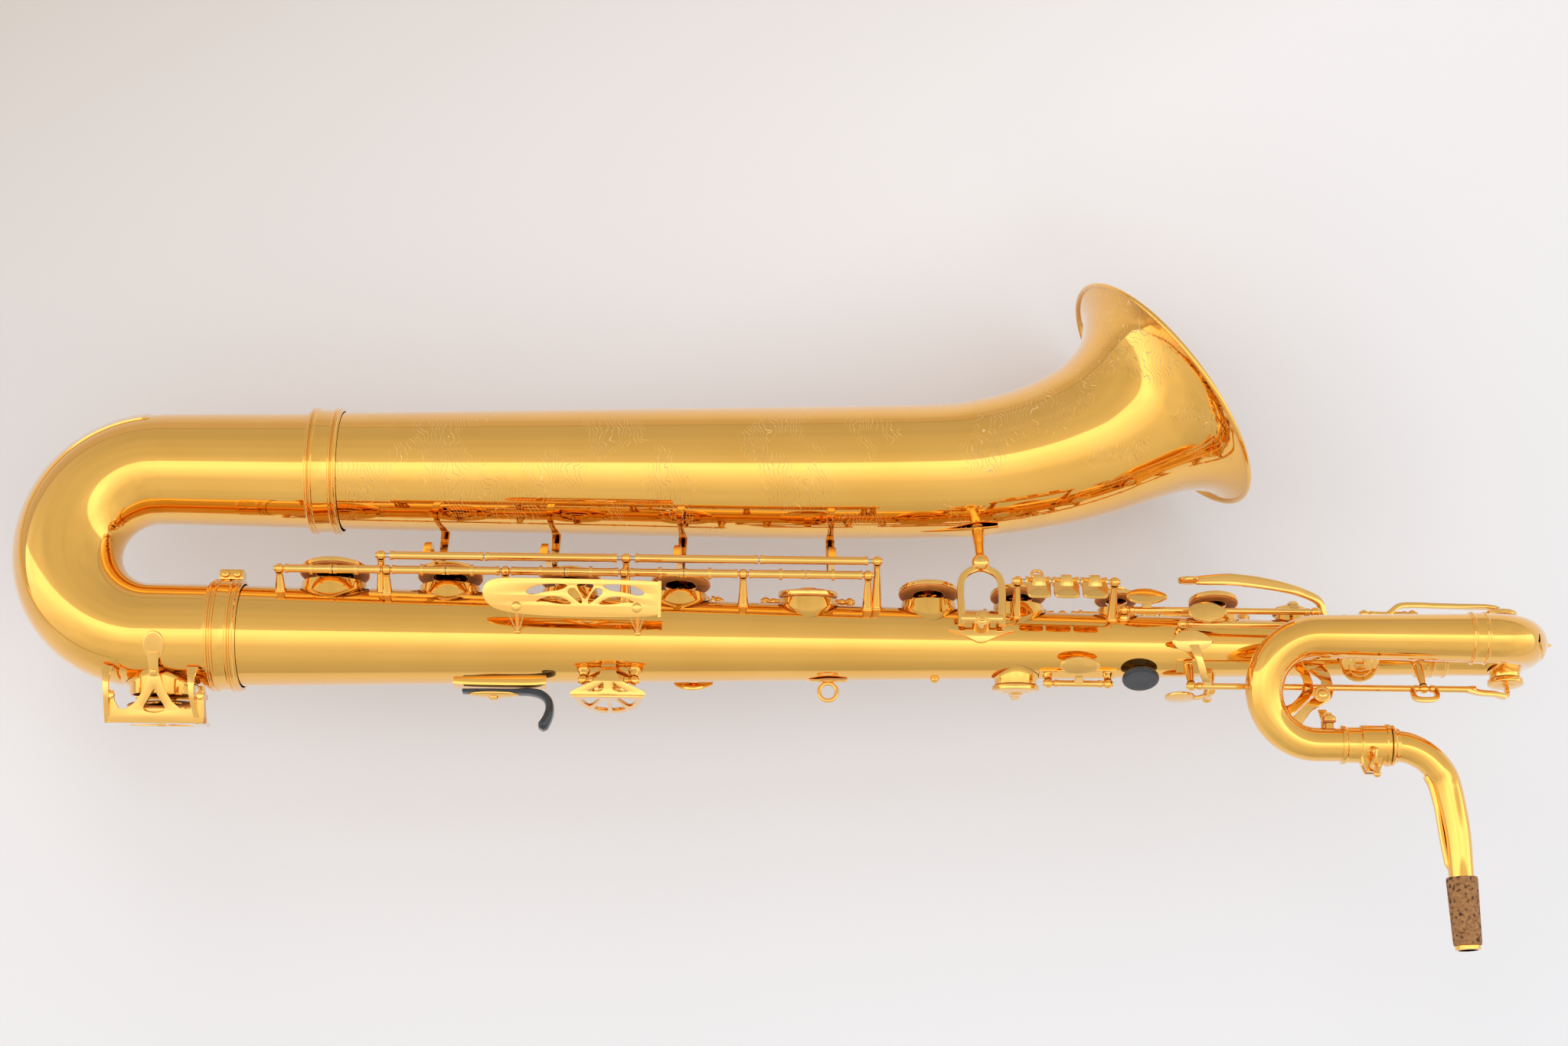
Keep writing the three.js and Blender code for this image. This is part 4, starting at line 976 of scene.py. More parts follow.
def show_crook():
    path = crook_line()
    length = np.concatenate([[0], np.cumsum(np.linalg.norm(np.diff(path, axis=0), axis=1))])
    shares, taper = [0, 0.12, 0.35, 0.62, 0.9, 1], [17.2, 17, 16.2, 14.2, 11.4, 11]
    radii = np.interp(length / length[-1], shares, taper)
    holes = [dict(place, tube=15.5) for place in LOOP_SEATS.values()]
    shapes = [tube(path, radii, 96, WALL, holes)]
    shapes += [chimney(place, 16, 1.4) for place in LOOP_SEATS.values()]
    vent = [(3.4, 8), (3.4, 14.2), (1.4, 14.5), (1.4, 8)]
    shapes.append(turned(vent, VENT_SEAT["from"], VENT_SEAT["out"], 32, 0.3, looped=True))
    for x, y, z, r in [(0, 0, 966, 17.1), (LEG_X, LEG_Y, 982, 15.9)]:
        shapes.append(band(ferrule_profile(r - 0.6, z - 2, z + 10, 1.5), x, y, 96))
    top = vec(LOOP_R, LEG_Y / 2, LOOP_Z + LOOP_R + 15.3)
    finial = [(0, 0), (4.2, 0), (2.6, 1.2), (1.4, 3.4), (0.5, 5.2), (0, 5.6)]
    shapes += [turned(finial, top, UP, 28), loop_plate(), *neck_receiver()]
    for z in (877, 901):
        shapes += post_shapes(vec(20.5, 69.5, z), upright("octave_vent_key", z))
    put("crook", shapes, BRASS)


def show_body_bow_ring():
    inner = body_radius(BODY_BOTTOM) + 0.75
    outer, lug = inner + 1.9, -inner - 7
    profile = [(inner, 140), (outer, 140)]
    for z in (142.5, 146, 156, 159.5):
        profile += bead(outer, z, 1.1, 1.2, 0.6)
    shapes = [band([*profile, (outer, 162), (inner, 162)], 0, 0, 128)]
    shapes.append(bar([(0, lug, 143), (0, lug, 159)], 12, 7.4, ACROSS, 4, 8, curved=False))
    for z in (147, 155):
        shapes.append(between(vec(-7, lug, z), vec(5, lug, z), 3.2, sides=28, round_by=0.8))
        foot = [(0, -inner - 0.5, z), (0, -inner - 5, z)]
        shapes.append(bar(foot, 7, 6, ACROSS, curved=False))
        shapes.append(screw_head(vec(7, lug, z), ACROSS, 2.9))
    put("body_bow_ring", shapes, BRASS)


def show_bell_bow_ring():
    profile = [(41.6, 200), (42.6, 200)]
    for z in (202, 204.6, 217.4, 220):
        profile += bead(42.8, z, 1.1, 1.1, 0.5)
    ring = band([*profile, (42.6, 222), (41.6, 222)], 0, BELL_AXIS_Y, 144)
    put("bell_bow_ring", [ring], BRASS)


# ------------------------------------------------------------------ fixed fittings
BRACE_Z = 660.0


def brace_yoke():
    """The U of flat bar that reaches forward from the body's pivot."""
    lower = [(33.4, -3, -13.5), (32.8, -14, -13.5), (31.4, -25, -14), (29.8, -36, -13)]
    lower.append((29, -42, -8.5))
    upper = [(x, y, -z) for x, y, z in lower[::-1]]
    yoke = chain(vec(0, 0, BRACE_Z), *lower, (29, -45, 0), *upper)
    return bar(yoke, 4.6, 5, ACROSS, 8, 5)


def brace_foot_plate():
    """The pointed plate on the body under the brace, bent to the tube."""
    facing, surface = outward(84), body_radius(BRACE_Z)
    side = np.cross(UP, facing)
    centre = facing * (surface + 1.3) + vec(0, 0, BRACE_Z)

    def on_body(along, across, lift):
        sink = surface - math.sqrt(surface**2 - across**2)
        return centre + UP * along + side * across + facing * (lift - sink)

    upper = [(-24, 0), (-17, 1.4), (-9, 5), (0, 9.5), (9, 5), (17, 1.4), (24, 0)]
    lozenge = [*upper, (9, -7), (0, -9), (-9, -7)]
    return sheet_with_windows(rounded(lozenge, 2), [], on_body, 1.2)


def show_bell_brace():
    z, hub = BRACE_Z, vec(29, -47, BRACE_Z)
    shapes = [brace_yoke(), brace_foot_plate(), ball(vec(29, -48.5, z), 6.2, 32)]
    barrel = [vec(33, -8, z - 14), vec(33, -8, z + 14)]
    shapes.append(between(*barrel, 3.3, sides=28, round_by=0.8))
    stem = [polar(76, body_radius(z) + 0.5, z), vec(35.6, -8, z)]
    shapes.append(between(*stem, 6.4, 5.6, 32, 0.8))
    cap = [(0, 1.4), (2.6, 1.4), (3, 0.8), (3, 0), (4.4, -0.2), (4.4, -1.2), (0, -1.2)]
    shapes.append(turned(cap, vec(36.4, -8, z), ACROSS, 32, 0.3))
    facing = outward(172)
    forward, radius = bell_at(z)
    foot = vec(0, -forward, z) + facing * (radius + 3.2)
    length = np.linalg.norm(foot - hub)
    arm = [(0, 2), (4.8, 5), (3.2, 10), (3.4, 0.6 * length)]
    arm += [(4.6, length - 2), (4.6, length), (0, length)]
    shapes.append(turned(arm, hub, foot - hub, 28, 0.6))
    wing = [(4, -79.4, z - 50), (5, -79.2, z - 24), foot, foot + vec(0, -2.6, 14)]
    shapes.append(bar(wing, [1.6, 7, 14, 9], 1.5, np.cross(UP, facing), 8))
    put("bell_brace", shapes, KEY_BRASS)


def show_crook_bracket():
    saddle = [(17.2, 11.4, 878), (24, 14.5, 877), (30, 14.5, 878), (35.6, 11.2, 879)]
    upper = [(12, 17.4, 886), (18, 28, 891), (24, 40, 888), (28, 50, 876), (27.6, 63, 865)]
    lower = [(16, 15, 871), (22, 27, 877), (28, 39, 876), (33, 50, 867), (36, 56, 858)]
    link = [(28, 38, 874), (26, 39, 881), (24, 40, 888)]
    shapes = [bar(saddle, [19, 10, 11, 18], 2.2, UP, 8, 6)]
    shapes.append(bar(upper, [13, 7, 10, 6, 8], 2, UP, 8, 6))
    shapes.append(bar(lower, [10, 6, 7, 6, 9], 2, UP, 8, 6))
    shapes.append(bar(link, [6, 5, 6], 2, BACK, 8, 6))
    disc = [(0, 1.6), (5, 1.5), (5.8, 0.8), (5.8, -1), (0, -1)]
    shapes.append(turned(disc, vec(26, 40, 886), ACROSS, 32, 0.4))
    shapes.append(screw_head(vec(27.8, 40, 886), ACROSS, 3.2))
    put("crook_bracket", shapes, KEY_BRASS)


# The low C guard: a window frame over the cup, and a pierced cheek at its left side.
LOW_C_GUARD_REACH = 60.0


def over_low_c(along, across, lift):
    return low_c_point(across, LOW_C_GUARD_REACH + lift, LOW_C_Z + along)


def beside_low_c(along, depth, lift):
    across = 21 + (LOW_C_GUARD_REACH - depth) * 0.22 + lift
    return low_c_point(across, depth, LOW_C_Z + along)


def low_c_frame():
    rim = [(-31, -14), (-27, -19), (26, -19), (30, -14), (30, 21), (-31, 21)]
    hole = rounded([(-22, -13), (22, -13), (22, 6), (-22, 6)])
    shapes = [sheet_with_windows(rim, [hole], over_low_c, 1.8)]
    bridge = [over_low_c(0, -19, 0), over_low_c(0, 21, 0)]
    shapes.append(bar(bridge, 6, 1.8, UP, curved=False))
    knob = [(0, 2.4), (3, 2.2), (3.6, 1.2), (3.6, -2.6), (0, -2.6)]
    shapes.append(turned(knob, over_low_c(0, 0, 0), outward(LOW_C_ANGLE), 28))
    return shapes


def low_c_cheek():
    side_way = np.cross(outward(LOW_C_ANGLE), UP)
    outline = [(-31, 57), (-30.6, 60), (-28, 61), (29, 61), (32.6, 60), (33, 57), (33, 40)]
    outline += [(29.6, 40), (28.4, 47), (24, 52), (18.6, 52.4), (12, 47.5), (6.6, 39), (3.8, 30)]
    outline += [(-3.8, 30), (-6.6, 39), (-12, 47.5), (-18.6, 52.4), (-23.6, 52), (-26.6, 47)]
    outline += [(-27.4, 40), (-31, 40)]
    window = [(0, 37), (3, 44), (8.6, 52), (4, 54.6), (-4, 54.6), (-8.6, 52), (-3, 44)]
    shapes = [sheet_with_windows(outline, [rounded(window)], beside_low_c, 2.0)]
    knob = [(0, 2.0), (2.2, 1.8), (2.9, 0.9), (2.9, -1.6), (0, -1.6)]
    for along in (-29, 31):
        shapes.append(turned(knob, beside_low_c(along, 43, 1.4), side_way, 24))
    return shapes


def low_c_legs():
    face, side_way = outward(LOW_C_ANGLE), np.cross(outward(LOW_C_ANGLE), UP)
    stops = [(29.4, 27), (32, 21.5), (34.4, 15)]
    neck = [beside_low_c(0, 33, 0), *[low_c_point(x, depth, LOW_C_Z) for x, depth in stops]]
    shapes = [bar(neck, [8, 6.6, 6.6, 8], 1.6, UP, 8, 5)]
    foot = low_c_point(34.4, 10.5, LOW_C_Z)
    shapes.append(leaf(foot, low_c_point(1, 0.3, 0), 14, 20, 1.0, 0, 0.3, face))
    screw = low_c_point(30.2, 28, LOW_C_Z)
    shapes.append(screw_head(screw, low_c_point(0.9, 0.4, 0), 2.6))
    for low, high in ((25, 30), (-32, -31)):
        stops = [(26, 24, low), (28.5, 32, low), (28, 43, low + 0.5), (24, 53, (low + high) / 2)]
        leg = [low_c_point(x, depth, LOW_C_Z + z) for x, depth, z in [*stops, (20, 61, high)]]
        shapes.append(bar(leg, [8, 5, 3.8, 3.8, 5], 1.8, UP, 8, 5))
    stops = [(38.2, 136.4), (48, 136.6), (LOW_C_GUARD_REACH, LOW_C_Z + 30)]
    shapes.append(bar([low_c_point(0, *stop) for stop in stops], [10, 6, 6], 2, side_way, 8))
    return shapes


def show_bow_key_guard():
    put("bow_key_guard", [*low_c_frame(), *low_c_cheek(), *low_c_legs()], KEY_BRASS)


TRILL_Z, TRILL_GUARD_Y = 411, 44.5


def trill_half_disc():
    """The half disc over the trill key's cup, pierced by a fan of windows."""

    def over_cup(across, along, lift):
        return vec(across, TRILL_GUARD_Y + lift, TRILL_Z + along)

    def arc(across, along, turns):
        return [(19 - across * math.sin(t), along * math.cos(t)) for t in turns]

    outline = [(20.5, 23.5), *arc(40, 22.5, np.linspace(0, math.pi, 30)), (20.5, -23.5)]
    windows = []
    for low, high in [(10, 46), (54, 86), (94, 126), (134, 170)]:
        near = arc(9, 7.5, np.radians(np.linspace(high, low, 5)))
        far = arc(34, 19, np.radians(np.linspace(low, high, 8)))
        windows.append(rounded([(min(x, 16.5), y) for x, y in [*near, *far]], 1))
    return sheet_with_windows(outline, windows, over_cup, 1.8)


def trill_foot_plate():
    """The bell-shaped plate from the half disc down to the tube."""

    def beside_cup(along, depth, lift):
        bulge = np.interp(depth, [21, 24, 30, 36, 44], [19, 21, 23, 23, 20])
        return vec(bulge + lift, depth, TRILL_Z + along)

    flare = [(4.6, 21), (4.6, 29), (7, 34), (13, 38), (21, 41), (25, 43), (25, 45), (0, 45)]
    opening = [(2.4, 42.8), (2.6, 35.5), (6, 38.4), (12.5, 41.4), (14.5, 42.8)]
    outline = rounded([*flare, *mirrored(flare[-2::-1])], 2)
    opening = rounded(opening, 2)
    return sheet_with_windows(outline, [opening, mirrored(opening)], beside_cup, 1.6)


def show_trill_key_guard():
    edge = chain(vec(0, TRILL_GUARD_Y, TRILL_Z), (19.4, 0, -24), (19.8, 0, 0), (19.4, 0, 24))
    shapes = [trill_half_disc(), bar(edge, 3.4, 2.6, BACK, 8, 4), trill_foot_plate()]
    put("trill_key_guard", shapes, KEY_BRASS)


def show_bell_key_guard():
    facing = outward(BELL_KEY_ANGLE - 20)

    def at(z, lift):
        forward, radius = bell_at(z)
        return vec(0, -forward, z) + facing * (radius + lift)

    rail = [at(z, 28) for z in (318, 366, 410, 460, 508, 556, 606)]
    shapes = [bar(rail, [4, 9, 5, 9, 5, 9, 4], 2.2, outward(BELL_KEY_ANGLE + 70), 8)]
    post = [(0, 0), (5.5, 0), (5.2, 0.8), (3, 1.8), (2.1, 8), (2.1, 27), (0, 27.4)]
    for z in (324, 411, 508, 600):
        shapes.append(turned(post, at(z, 0.5), facing, 28, 0.5))
        shapes.append(screw_head(at(z, 29.2), facing, 2.6))
    put("bell_key_guard", shapes, KEY_BRASS)


STACK_GUARD_Z = 387
STACK_GUARD_FACING = outward(110)


def on_stack_guard(along, down, lift):
    centre = vec(48, -14, STACK_GUARD_Z) + STACK_GUARD_FACING * 0.9
    side = np.cross(STACK_GUARD_FACING, UP)
    return centre + UP * along + side * down + STACK_GUARD_FACING * lift


def pierced_stack_plate():
    """The long plate with a fan of openings, as a left half and its mirror image."""
    outline = [(56, -12), (58.4, -10), (58, 9), (55, 11.6), (20, 12.6), (-20, 12), (-46, 9.5)]
    outline += [(-56, 5), (-60, -3), (-58, -9), (-52, -12.4), (-40, -13)]
    fan_middle = 8.6
    halves = [
        [(-41, -3.3), (-35, -7.8), (-25, -9.6), (-9.5, -9.2), (-15.5, -5), (-26.5, -4), (-35, -1.4)],
        [(-34.5, 3.2), (-27.4, -0.6), (-17.6, -1.8), (-6.2, 4.4), (-18.6, 4.2), (-27, 2.4)],
        [(-2, 4.6), (-7.4, 0.6), (-13, -4.2), (-8.2, -7.8), (-4.4, -4), (-1.6, 1)],
    ]
    windows = [[(0, 3), (-5, -6.4), (-6.4, -9.4), (0, -9.6), (6.4, -9.4), (5, -6.4)]]
    windows += halves + [mirrored(loop[::-1]) for loop in halves]
    windows = [rounded([(x + fan_middle, -y) for x, y in loop]) for loop in windows]
    outline = rounded([(x, -y) for x, y in outline], 2)
    return sheet_with_windows(outline, windows, on_stack_guard)


def show_stack_guard():
    facing, place = STACK_GUARD_FACING, on_stack_guard
    shapes = [pierced_stack_plate()]
    shapes.append(bar([place(58, -12, 0), place(58, 12, 0)], 2.6, 2.4, UP, curved=False))
    post = [(0, 0), (2.6, 0), (2.4, 0.9), (1.4, 2), (1.3, 10), (1.3, 19), (0, 19)]
    for x in (-37, 43):
        z = STACK_GUARD_Z + x
        foot = polar(98, body_radius(z) + 0.6, z)
        shapes.append(turned(post, foot, place(x, 4, 0) - foot, 28, 0.4))
        shapes.append(screw_head(place(x, -6, 1.1), facing, 3.4))
        for s in (-1, 1):
            leg = [place(x + 5 * s, -9, -0.6), place(x + 4.6 * s, -12.6, -3), foot + UP * 0.4 * s]
            shapes.append(bar(leg, 1.8, 1.2, facing, 6))
    put("stack_guard", shapes, KEY_BRASS)


def show_strap_ring():
    centre = vec(0, body_radius(558), 558)
    base = chain(centre, (0, 0.9, -13), (0, 1.3, -6), (0, 1.6, 0), (0, 1.3, 6), (0, 0.9, 13))
    shapes = [torus(centre + BACK * 9, ACROSS, 6, 1.45, 56, 18)]
    shapes.append(bar(base, [3, 7, 8, 7, 3], 1.4, ACROSS, 8))
    put("strap_ring", shapes, KEY_BRASS)


def show_thumb_rest():
    foot = polar(160, body_radius(768) + 0.6, 768)
    dish = [(0, 0), (6, 0), (7, 1), (12.2, 4), (12.5, 5), (12.3, 6.4), (11, 7), (5, 6.9), (0, 6.8)]
    put("thumb_rest", [turned(dish, foot, outward(160), 72, 0.6)], PLASTIC)


def show_steel_rods():
    rods = {
        "lower_stack_rod": (ROD["key_d"], 194, 486),
        "upper_stack_rod": (ROD["key_g"], 594, 849),
        "bell_key_rod": (ROD["key_low_b"], 252, 594),
        "table_rod": (ROD["table_gsharp"], 680, 753),
        "front_rod": (FRONT_ROD, 184, 588),
    }
    for node, ((x, y, *_), low, high) in rods.items():
        put(node, [between(vec(x, y, low), vec(x, y, high), 1.5, sides=24)], STEEL)


def show_front_rod_sleeves():
    sleeves = []
    for low, high in zip(FRONT_POSTS, FRONT_POSTS[1:]):
        middle = (low + high) / 2
        sleeves.append(hinge_tube(FRONT_ROD, low + 3.8, middle - 0.3))
        sleeves.append(hinge_tube(FRONT_ROD, middle + 0.3, high - 3.8))
        for share in (0.3, 0.72):
            sleeves.append(collar(vec(*FRONT_ROD, low + share * (high - low)), 3.9, 1.1))
    add_piece("front_rod_sleeves", sleeves, KEY_BRASS)


# ------------------------------------------------------------------ keys
def key_pieces(node, place, metal, open_standing=False, pad_node=None, pearl=None):
    """The visible pieces of one key: its brass, its leather pad and its resonator."""
    put(node, cup_shapes(place) + metal, KEY_BRASS, node, open_standing)
    leather = add_piece(pad_node or node + "_pad", pad_shapes(place), LEATHER, node, open_standing)
    if pad_node:
        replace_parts(leather, pad_node)
    if place["cup"] > SMALLEST_RESONATOR_CUP:
        shine = resonator_shapes(place)
        add_piece(node + "_resonator", shine, KEY_BRASS, node, open_standing)
    if pearl:
        add_piece(node + "_pearl", pearl, PEARL, node, open_standing)


def cup_arm(place, rod, height=None, stops=None):
    """The arm from the hinge tube, over the shoulder, to the middle of the cup."""
    height = place["from"][2] if height is None else height
    out = place["out"]
    start = vec(rod[0], rod[1], height) + out * 1.4
    top = roof(place, -0.6)
    if stops is None:
        lean = top - start
        stops = [start + 0.16 * lean + out * 4.6, start + 0.5 * lean + out * 3.2]
    points = [start, *stops, top]
    widths = np.interp(np.linspace(0, 1, len(points)), [0, 0.3, 1], [7.5, 4.8, 6])
    r = place["cup"]
    boss = [(0, 0), (0.34 * r, 0), (0.3 * r, 0.9), (0.12 * r, 1.5), (0, 1.7)]
    return [
        bar(points, list(widths), [2.6] + [2.1] * (len(points) - 1), UP, 8, 5),
        turned(boss, above(place, CUP_HEIGHT - 0.2), out, 36, 0.3),
    ]


STACK_SPANS = {
    "d": (203, 262),
    "e": (263, 334),
    "f": (346, 415),
    "fsharp": (416, 476),
    "g": (603, 656),
    "a": (657, 714),
    "b": (726, 786),
    "c": (787, 839),
}


def finger_pearl(place):
    """A brass holder on the cup and the pearl in it."""
    top, out = roof(place, -1.4), place["out"]
    holder = [(0, 0), (7.2, 0), (7.6, 1.4), (6.6, 2.2), (0, 2.2)]
    pearl = [(0, 1.8), (6.2, 1.8), (6.0, 2.7), (4, 3.0), (0, 2.7)]
    return turned(holder, top, out, 40, 0.3), turned(pearl, top, out, 40, 0.4)


def show_stack_keys():
    for note, (low, high) in STACK_SPANS.items():
        place, node = SEATS[note], "key_" + note
        rod, z = ROD[node], place["from"][2]
        metal = [hinge_tube(rod, low, high), *cup_arm(place, rod)]
        for side in (-0.36, 0.36):
            metal.append(collar(upright(node, z + side * (high - low)), 3.8, 1.2))
        foot = chain(upright(node, z + 14), (0, 0, 0), (-5, 3, 0), (-7.5, 8, 0))
        metal.append(bar(foot, 4, 1.8, UP, 6))
        pearl = None
        if note in "ab":
            holder, disc = finger_pearl(place)
            metal.append(holder)
            pearl = [disc]
        pad_node = None if note == "b" else "pad_" + note
        key_pieces(node, place, metal, True, pad_node, pearl)


BELL_KEY_SPANS = {
    "low_csharp": (262, 325),
    "low_b": (326, 415),
    "low_bb": (427, 510),
    "low_a": (511, 584),
}


def show_bell_keys():
    boss = [(0, 0), (9, 0), (8, 1.1), (3, 1.9), (0, 2.1)]
    for name, (low, high) in BELL_KEY_SPANS.items():
        place, node = BELL_SEATS[name], "key_" + name
        rod, z, out = ROD[node], place["from"][2], place["out"]
        edge = above(place, 9) - outward(BELL_KEY_ANGLE + 90) * place["cup"]
        path = [(rod[0] - 1, rod[1] - 1, z), (22, -62, z), (2, -64.5, z), (-20, -64.5, z)]
        path += [(-46, -73, z), edge, roof(place, -0.6)]
        metal = [hinge_tube(rod, low, high)]
        metal.append(bar(path, [6, 5, 4.4, 4.4, 5, 6.6, 8], 2.2, UP, 10, 5))
        metal.append(turned(boss, above(place, CUP_HEIGHT - 0.2), out, 40, 0.3))
        end, half = above(place, CUP_HEIGHT + 0.4), UP * 0.7 * place["cup"]
        stiffener = [end + half, above(place, CUP_HEIGHT + 1.2), end - half]
        metal.append(bar(stiffener, 4, 1.8, out, 8))
        key_pieces(node, place, metal, True)


def show_table():
    """The left little finger's three touches."""
    facing = outward(60)
    for name, low, high in [
        ("table_gsharp", 689, 706),
        ("table_low_b", 707, 725),
        ("table_low_bb", 726, 744),
    ]:
        line = upright(name, (low + high) / 2)
        at = line + vec(7.5, 7, 0)
        arm = [line + vec(2.4, -0.5, 0), line + vec(7.5, -1, 0), at - facing * 1.4]
        shapes = [hinge_tube(line, low, high), bar(arm, [8, 7, 10], 2, UP, 8)]
        shapes.append(leaf(at, facing, 17.5, high - low - 0.8, 2.4, 0, 0.8, square=5))
        if name == "table_gsharp":
            shapes.append(torus(at + vec(-2, -10, -1), facing, 3.4, 1.1, 36, 12))
        put(name, shapes, KEY_BRASS, name)


def spread_touch(rod, at, facing, width, length, tip=0.35):
    """A finger plate and the curved lever that carries it."""
    start = vec(rod[0], rod[1], at[2])
    middle = (start + at) / 2 + facing * 1.0
    lever = bar([start, middle, at - facing * 1.4], [7, 5, 8], 2.2, UP, 8, 5)
    return [lever, leaf(at, facing, width, length, 2.3, tip, 1.3)]


def show_sprung_keys():
    keys = {
        "gsharp": (518.4, 569.6, None),
        "low_eb": (175.4, 204.6, None),
        "trill_fsharp": (397.4, 424.6, None),
        "side_bb": (450.4, 701.6, (vec(-38, 19, 466), outward(-120), 13, 27)),
        "side_c": (498.4, 736.6, (vec(-37, -14, 515), outward(-80), 13, 27)),
        "palm_d": (760.4, 882.6, (polar(42, 38, 772), outward(60), 15, 28)),
        "palm_eb": (798.4, 905.6, (polar(68, 38, 811), outward(80), 15, 26)),
    }
    heights = {"palm_eb": 898}
    ways_round = {
        "side_bb": [vec(-28.6, 24, 685), vec(-17, 33, 685)],
        "palm_eb": [vec(28.8, 4, 904), vec(27, 15, 911)],
    }
    for name, (low, high, touch) in keys.items():
        node, place = "key_" + name, SEATS[name]
        arm = cup_arm(place, ROD[node], heights.get(name), ways_round.get(name))
        metal = [key_shaft(ROD[node], low, high), *arm]
        if touch:
            metal += spread_touch(ROD[node], *touch)
        key_pieces(node, place, metal)


def show_palm_f_key():
    node, place = "key_palm_f", LOOP_SEATS["palm_f"]
    line = upright(node, 0)
    metal = [key_shaft(line, 803.4, 951.6), key_shaft(line, 958.6, 990)]
    around = [(0, 0, 947), (3.6, 7.4, 948), (4.4, 9, 955), (3.6, 7.4, 962), (0, 0, 963)]
    metal.append(bar(chain(line, *around), 4.4, 3.6, ACROSS, 8, 5))
    climb = chain(line, (0, 0, 984), (-0.6, 2, 992), (-1.5, 2.6, 1002), (-7, 2.4, 1011))
    climb.append(roof(place, -0.6))
    metal.append(bar(climb, [6, 5, 5, 6, 8], [4.4, 3.8, 3.6, 3.4, 2.2], ACROSS, 8, 5))
    lever = chain(line, (0, 0, 812), (8, -4, 808), (13, -15, 804), (14, -26, 800))
    metal.append(bar(lever, [6, 5, 5, 8], 2.2, UP, 8, 5))
    metal.append(leaf(line + vec(14.4, -27, 800), outward(100), 15, 27, 2.4, 0.35, 1.2))
    key_pieces(node, place, metal)


def show_high_e_key():
    node, place = "key_high_e", LOOP_SEATS["high_e"]
    line = upright(node, 0)
    climb = chain(line, (0, -0.5, 942), (0, -6, 949), (0, -7, 960), (0.5, -6.5, 975))
    climb += [vec(-2, -32, 992), vec(5, -29.5, 1006), roof(place, -0.6)]
    depths = [4, 3.8, 3.6, 3.4, 3.2, 2.8, 2.2]
    metal = [key_shaft(line, 928.4, 954.6)]
    metal.append(bar(climb, [6, 5, 4.6, 4.6, 5, 6, 8], depths, ACROSS, 8, 5))
    key_pieces(node, place, metal)


def show_front_f_lever():
    name = "front_f_lever"
    line = upright(name, 0)
    path = [line + vec(0, -1, 898), (-7.6, -36.4, 894), (-3, -41, 882), (3, -42.8, 868)]
    path += [(6, -45, 850), (7.4, -46.4, 832), (8, -45.6, 816), (8, -45.2, 808)]
    shapes = [key_shaft(line, 889.4, 908.6)]
    shapes.append(bar(path, 3, [5, 6, 6.6, 7.4, 8.4, 8.4, 7, 6], ACROSS, 8, 3))
    shapes.append(leaf(vec(8, -46.4, 803), outward(0), 12, 15, 2.6, 0, 0.4))
    put(name, shapes, KEY_BRASS, name)
    pearl = leaf(vec(8, -46.9, 803), outward(0), 9, 12, 1.2, 0, 1.0)
    add_piece("front_f_pearl", [pearl], PEARL, name)


def show_thumb_levers():
    name = "low_a_thumb_lever"
    shapes = [key_shaft(ROD[name], 709.4, 742.6)]
    shapes += spread_touch(ROD[name], polar(132, 33, 726), outward(140), 15, 27, 0.2)
    put(name, shapes, KEY_BRASS, name)

    name = "octave_thumb_lever"
    axis = ROD[name]
    shapes = [between(axis - ACROSS * 5.6, axis + ACROSS * 5.6, 2.5, sides=24)]
    lever = [axis, (axis[0], 33.6, 808), (axis[0], 33.4, 798)]
    shapes.append(bar(lever, [7, 6, 9], 2.2, ACROSS, 8, 5))
    shapes.append(leaf(vec(axis[0], 34.2, 796), BACK, 21, 20, 2.4, -0.2, 1.2))
    put(name, shapes, KEY_BRASS, name)


def show_octave_vent_key():
    name = "octave_vent_key"
    line = upright(name, 889)
    crest = (line + roof(VENT_SEAT)) / 2 + vec(0, -4.5, 0)
    arm = [line + vec(0, -1.2, 0), crest, roof(VENT_SEAT, -0.4)]
    shapes = [key_shaft(line, 880.4, 897.6, 2.0), bar(arm, [5, 4, 5], 1.9, UP, 8)]
    shapes.append(bar([line, (12, 54, 889), (9, 46, 889)], [5, 4, 6], 2, UP, 8))
    key_pieces(name, VENT_SEAT, shapes)


def show_low_c_key():
    node, place = "key_low_c", LOW_C_SEAT
    shaft = key_shaft(ROD[node], LOW_C_Z - 17.6, LOW_C_Z + 17.6)
    key_pieces(node, place, [shaft, *cup_arm(place, ROD[node])], True, "pad_low_c")


# ------------------------------------------------------------------ neck and player's fittings
NECK_POINTS = [
    (28, 75, 931),
    (27.6, 76.6, 941),
    (26.4, 81.5, 951.5),
    (24.6, 89.5, 960),
    (22, 100, 965.6),
    (18, 128, 971),
    (14, 158, 973),
    (10, 207, 975),
]


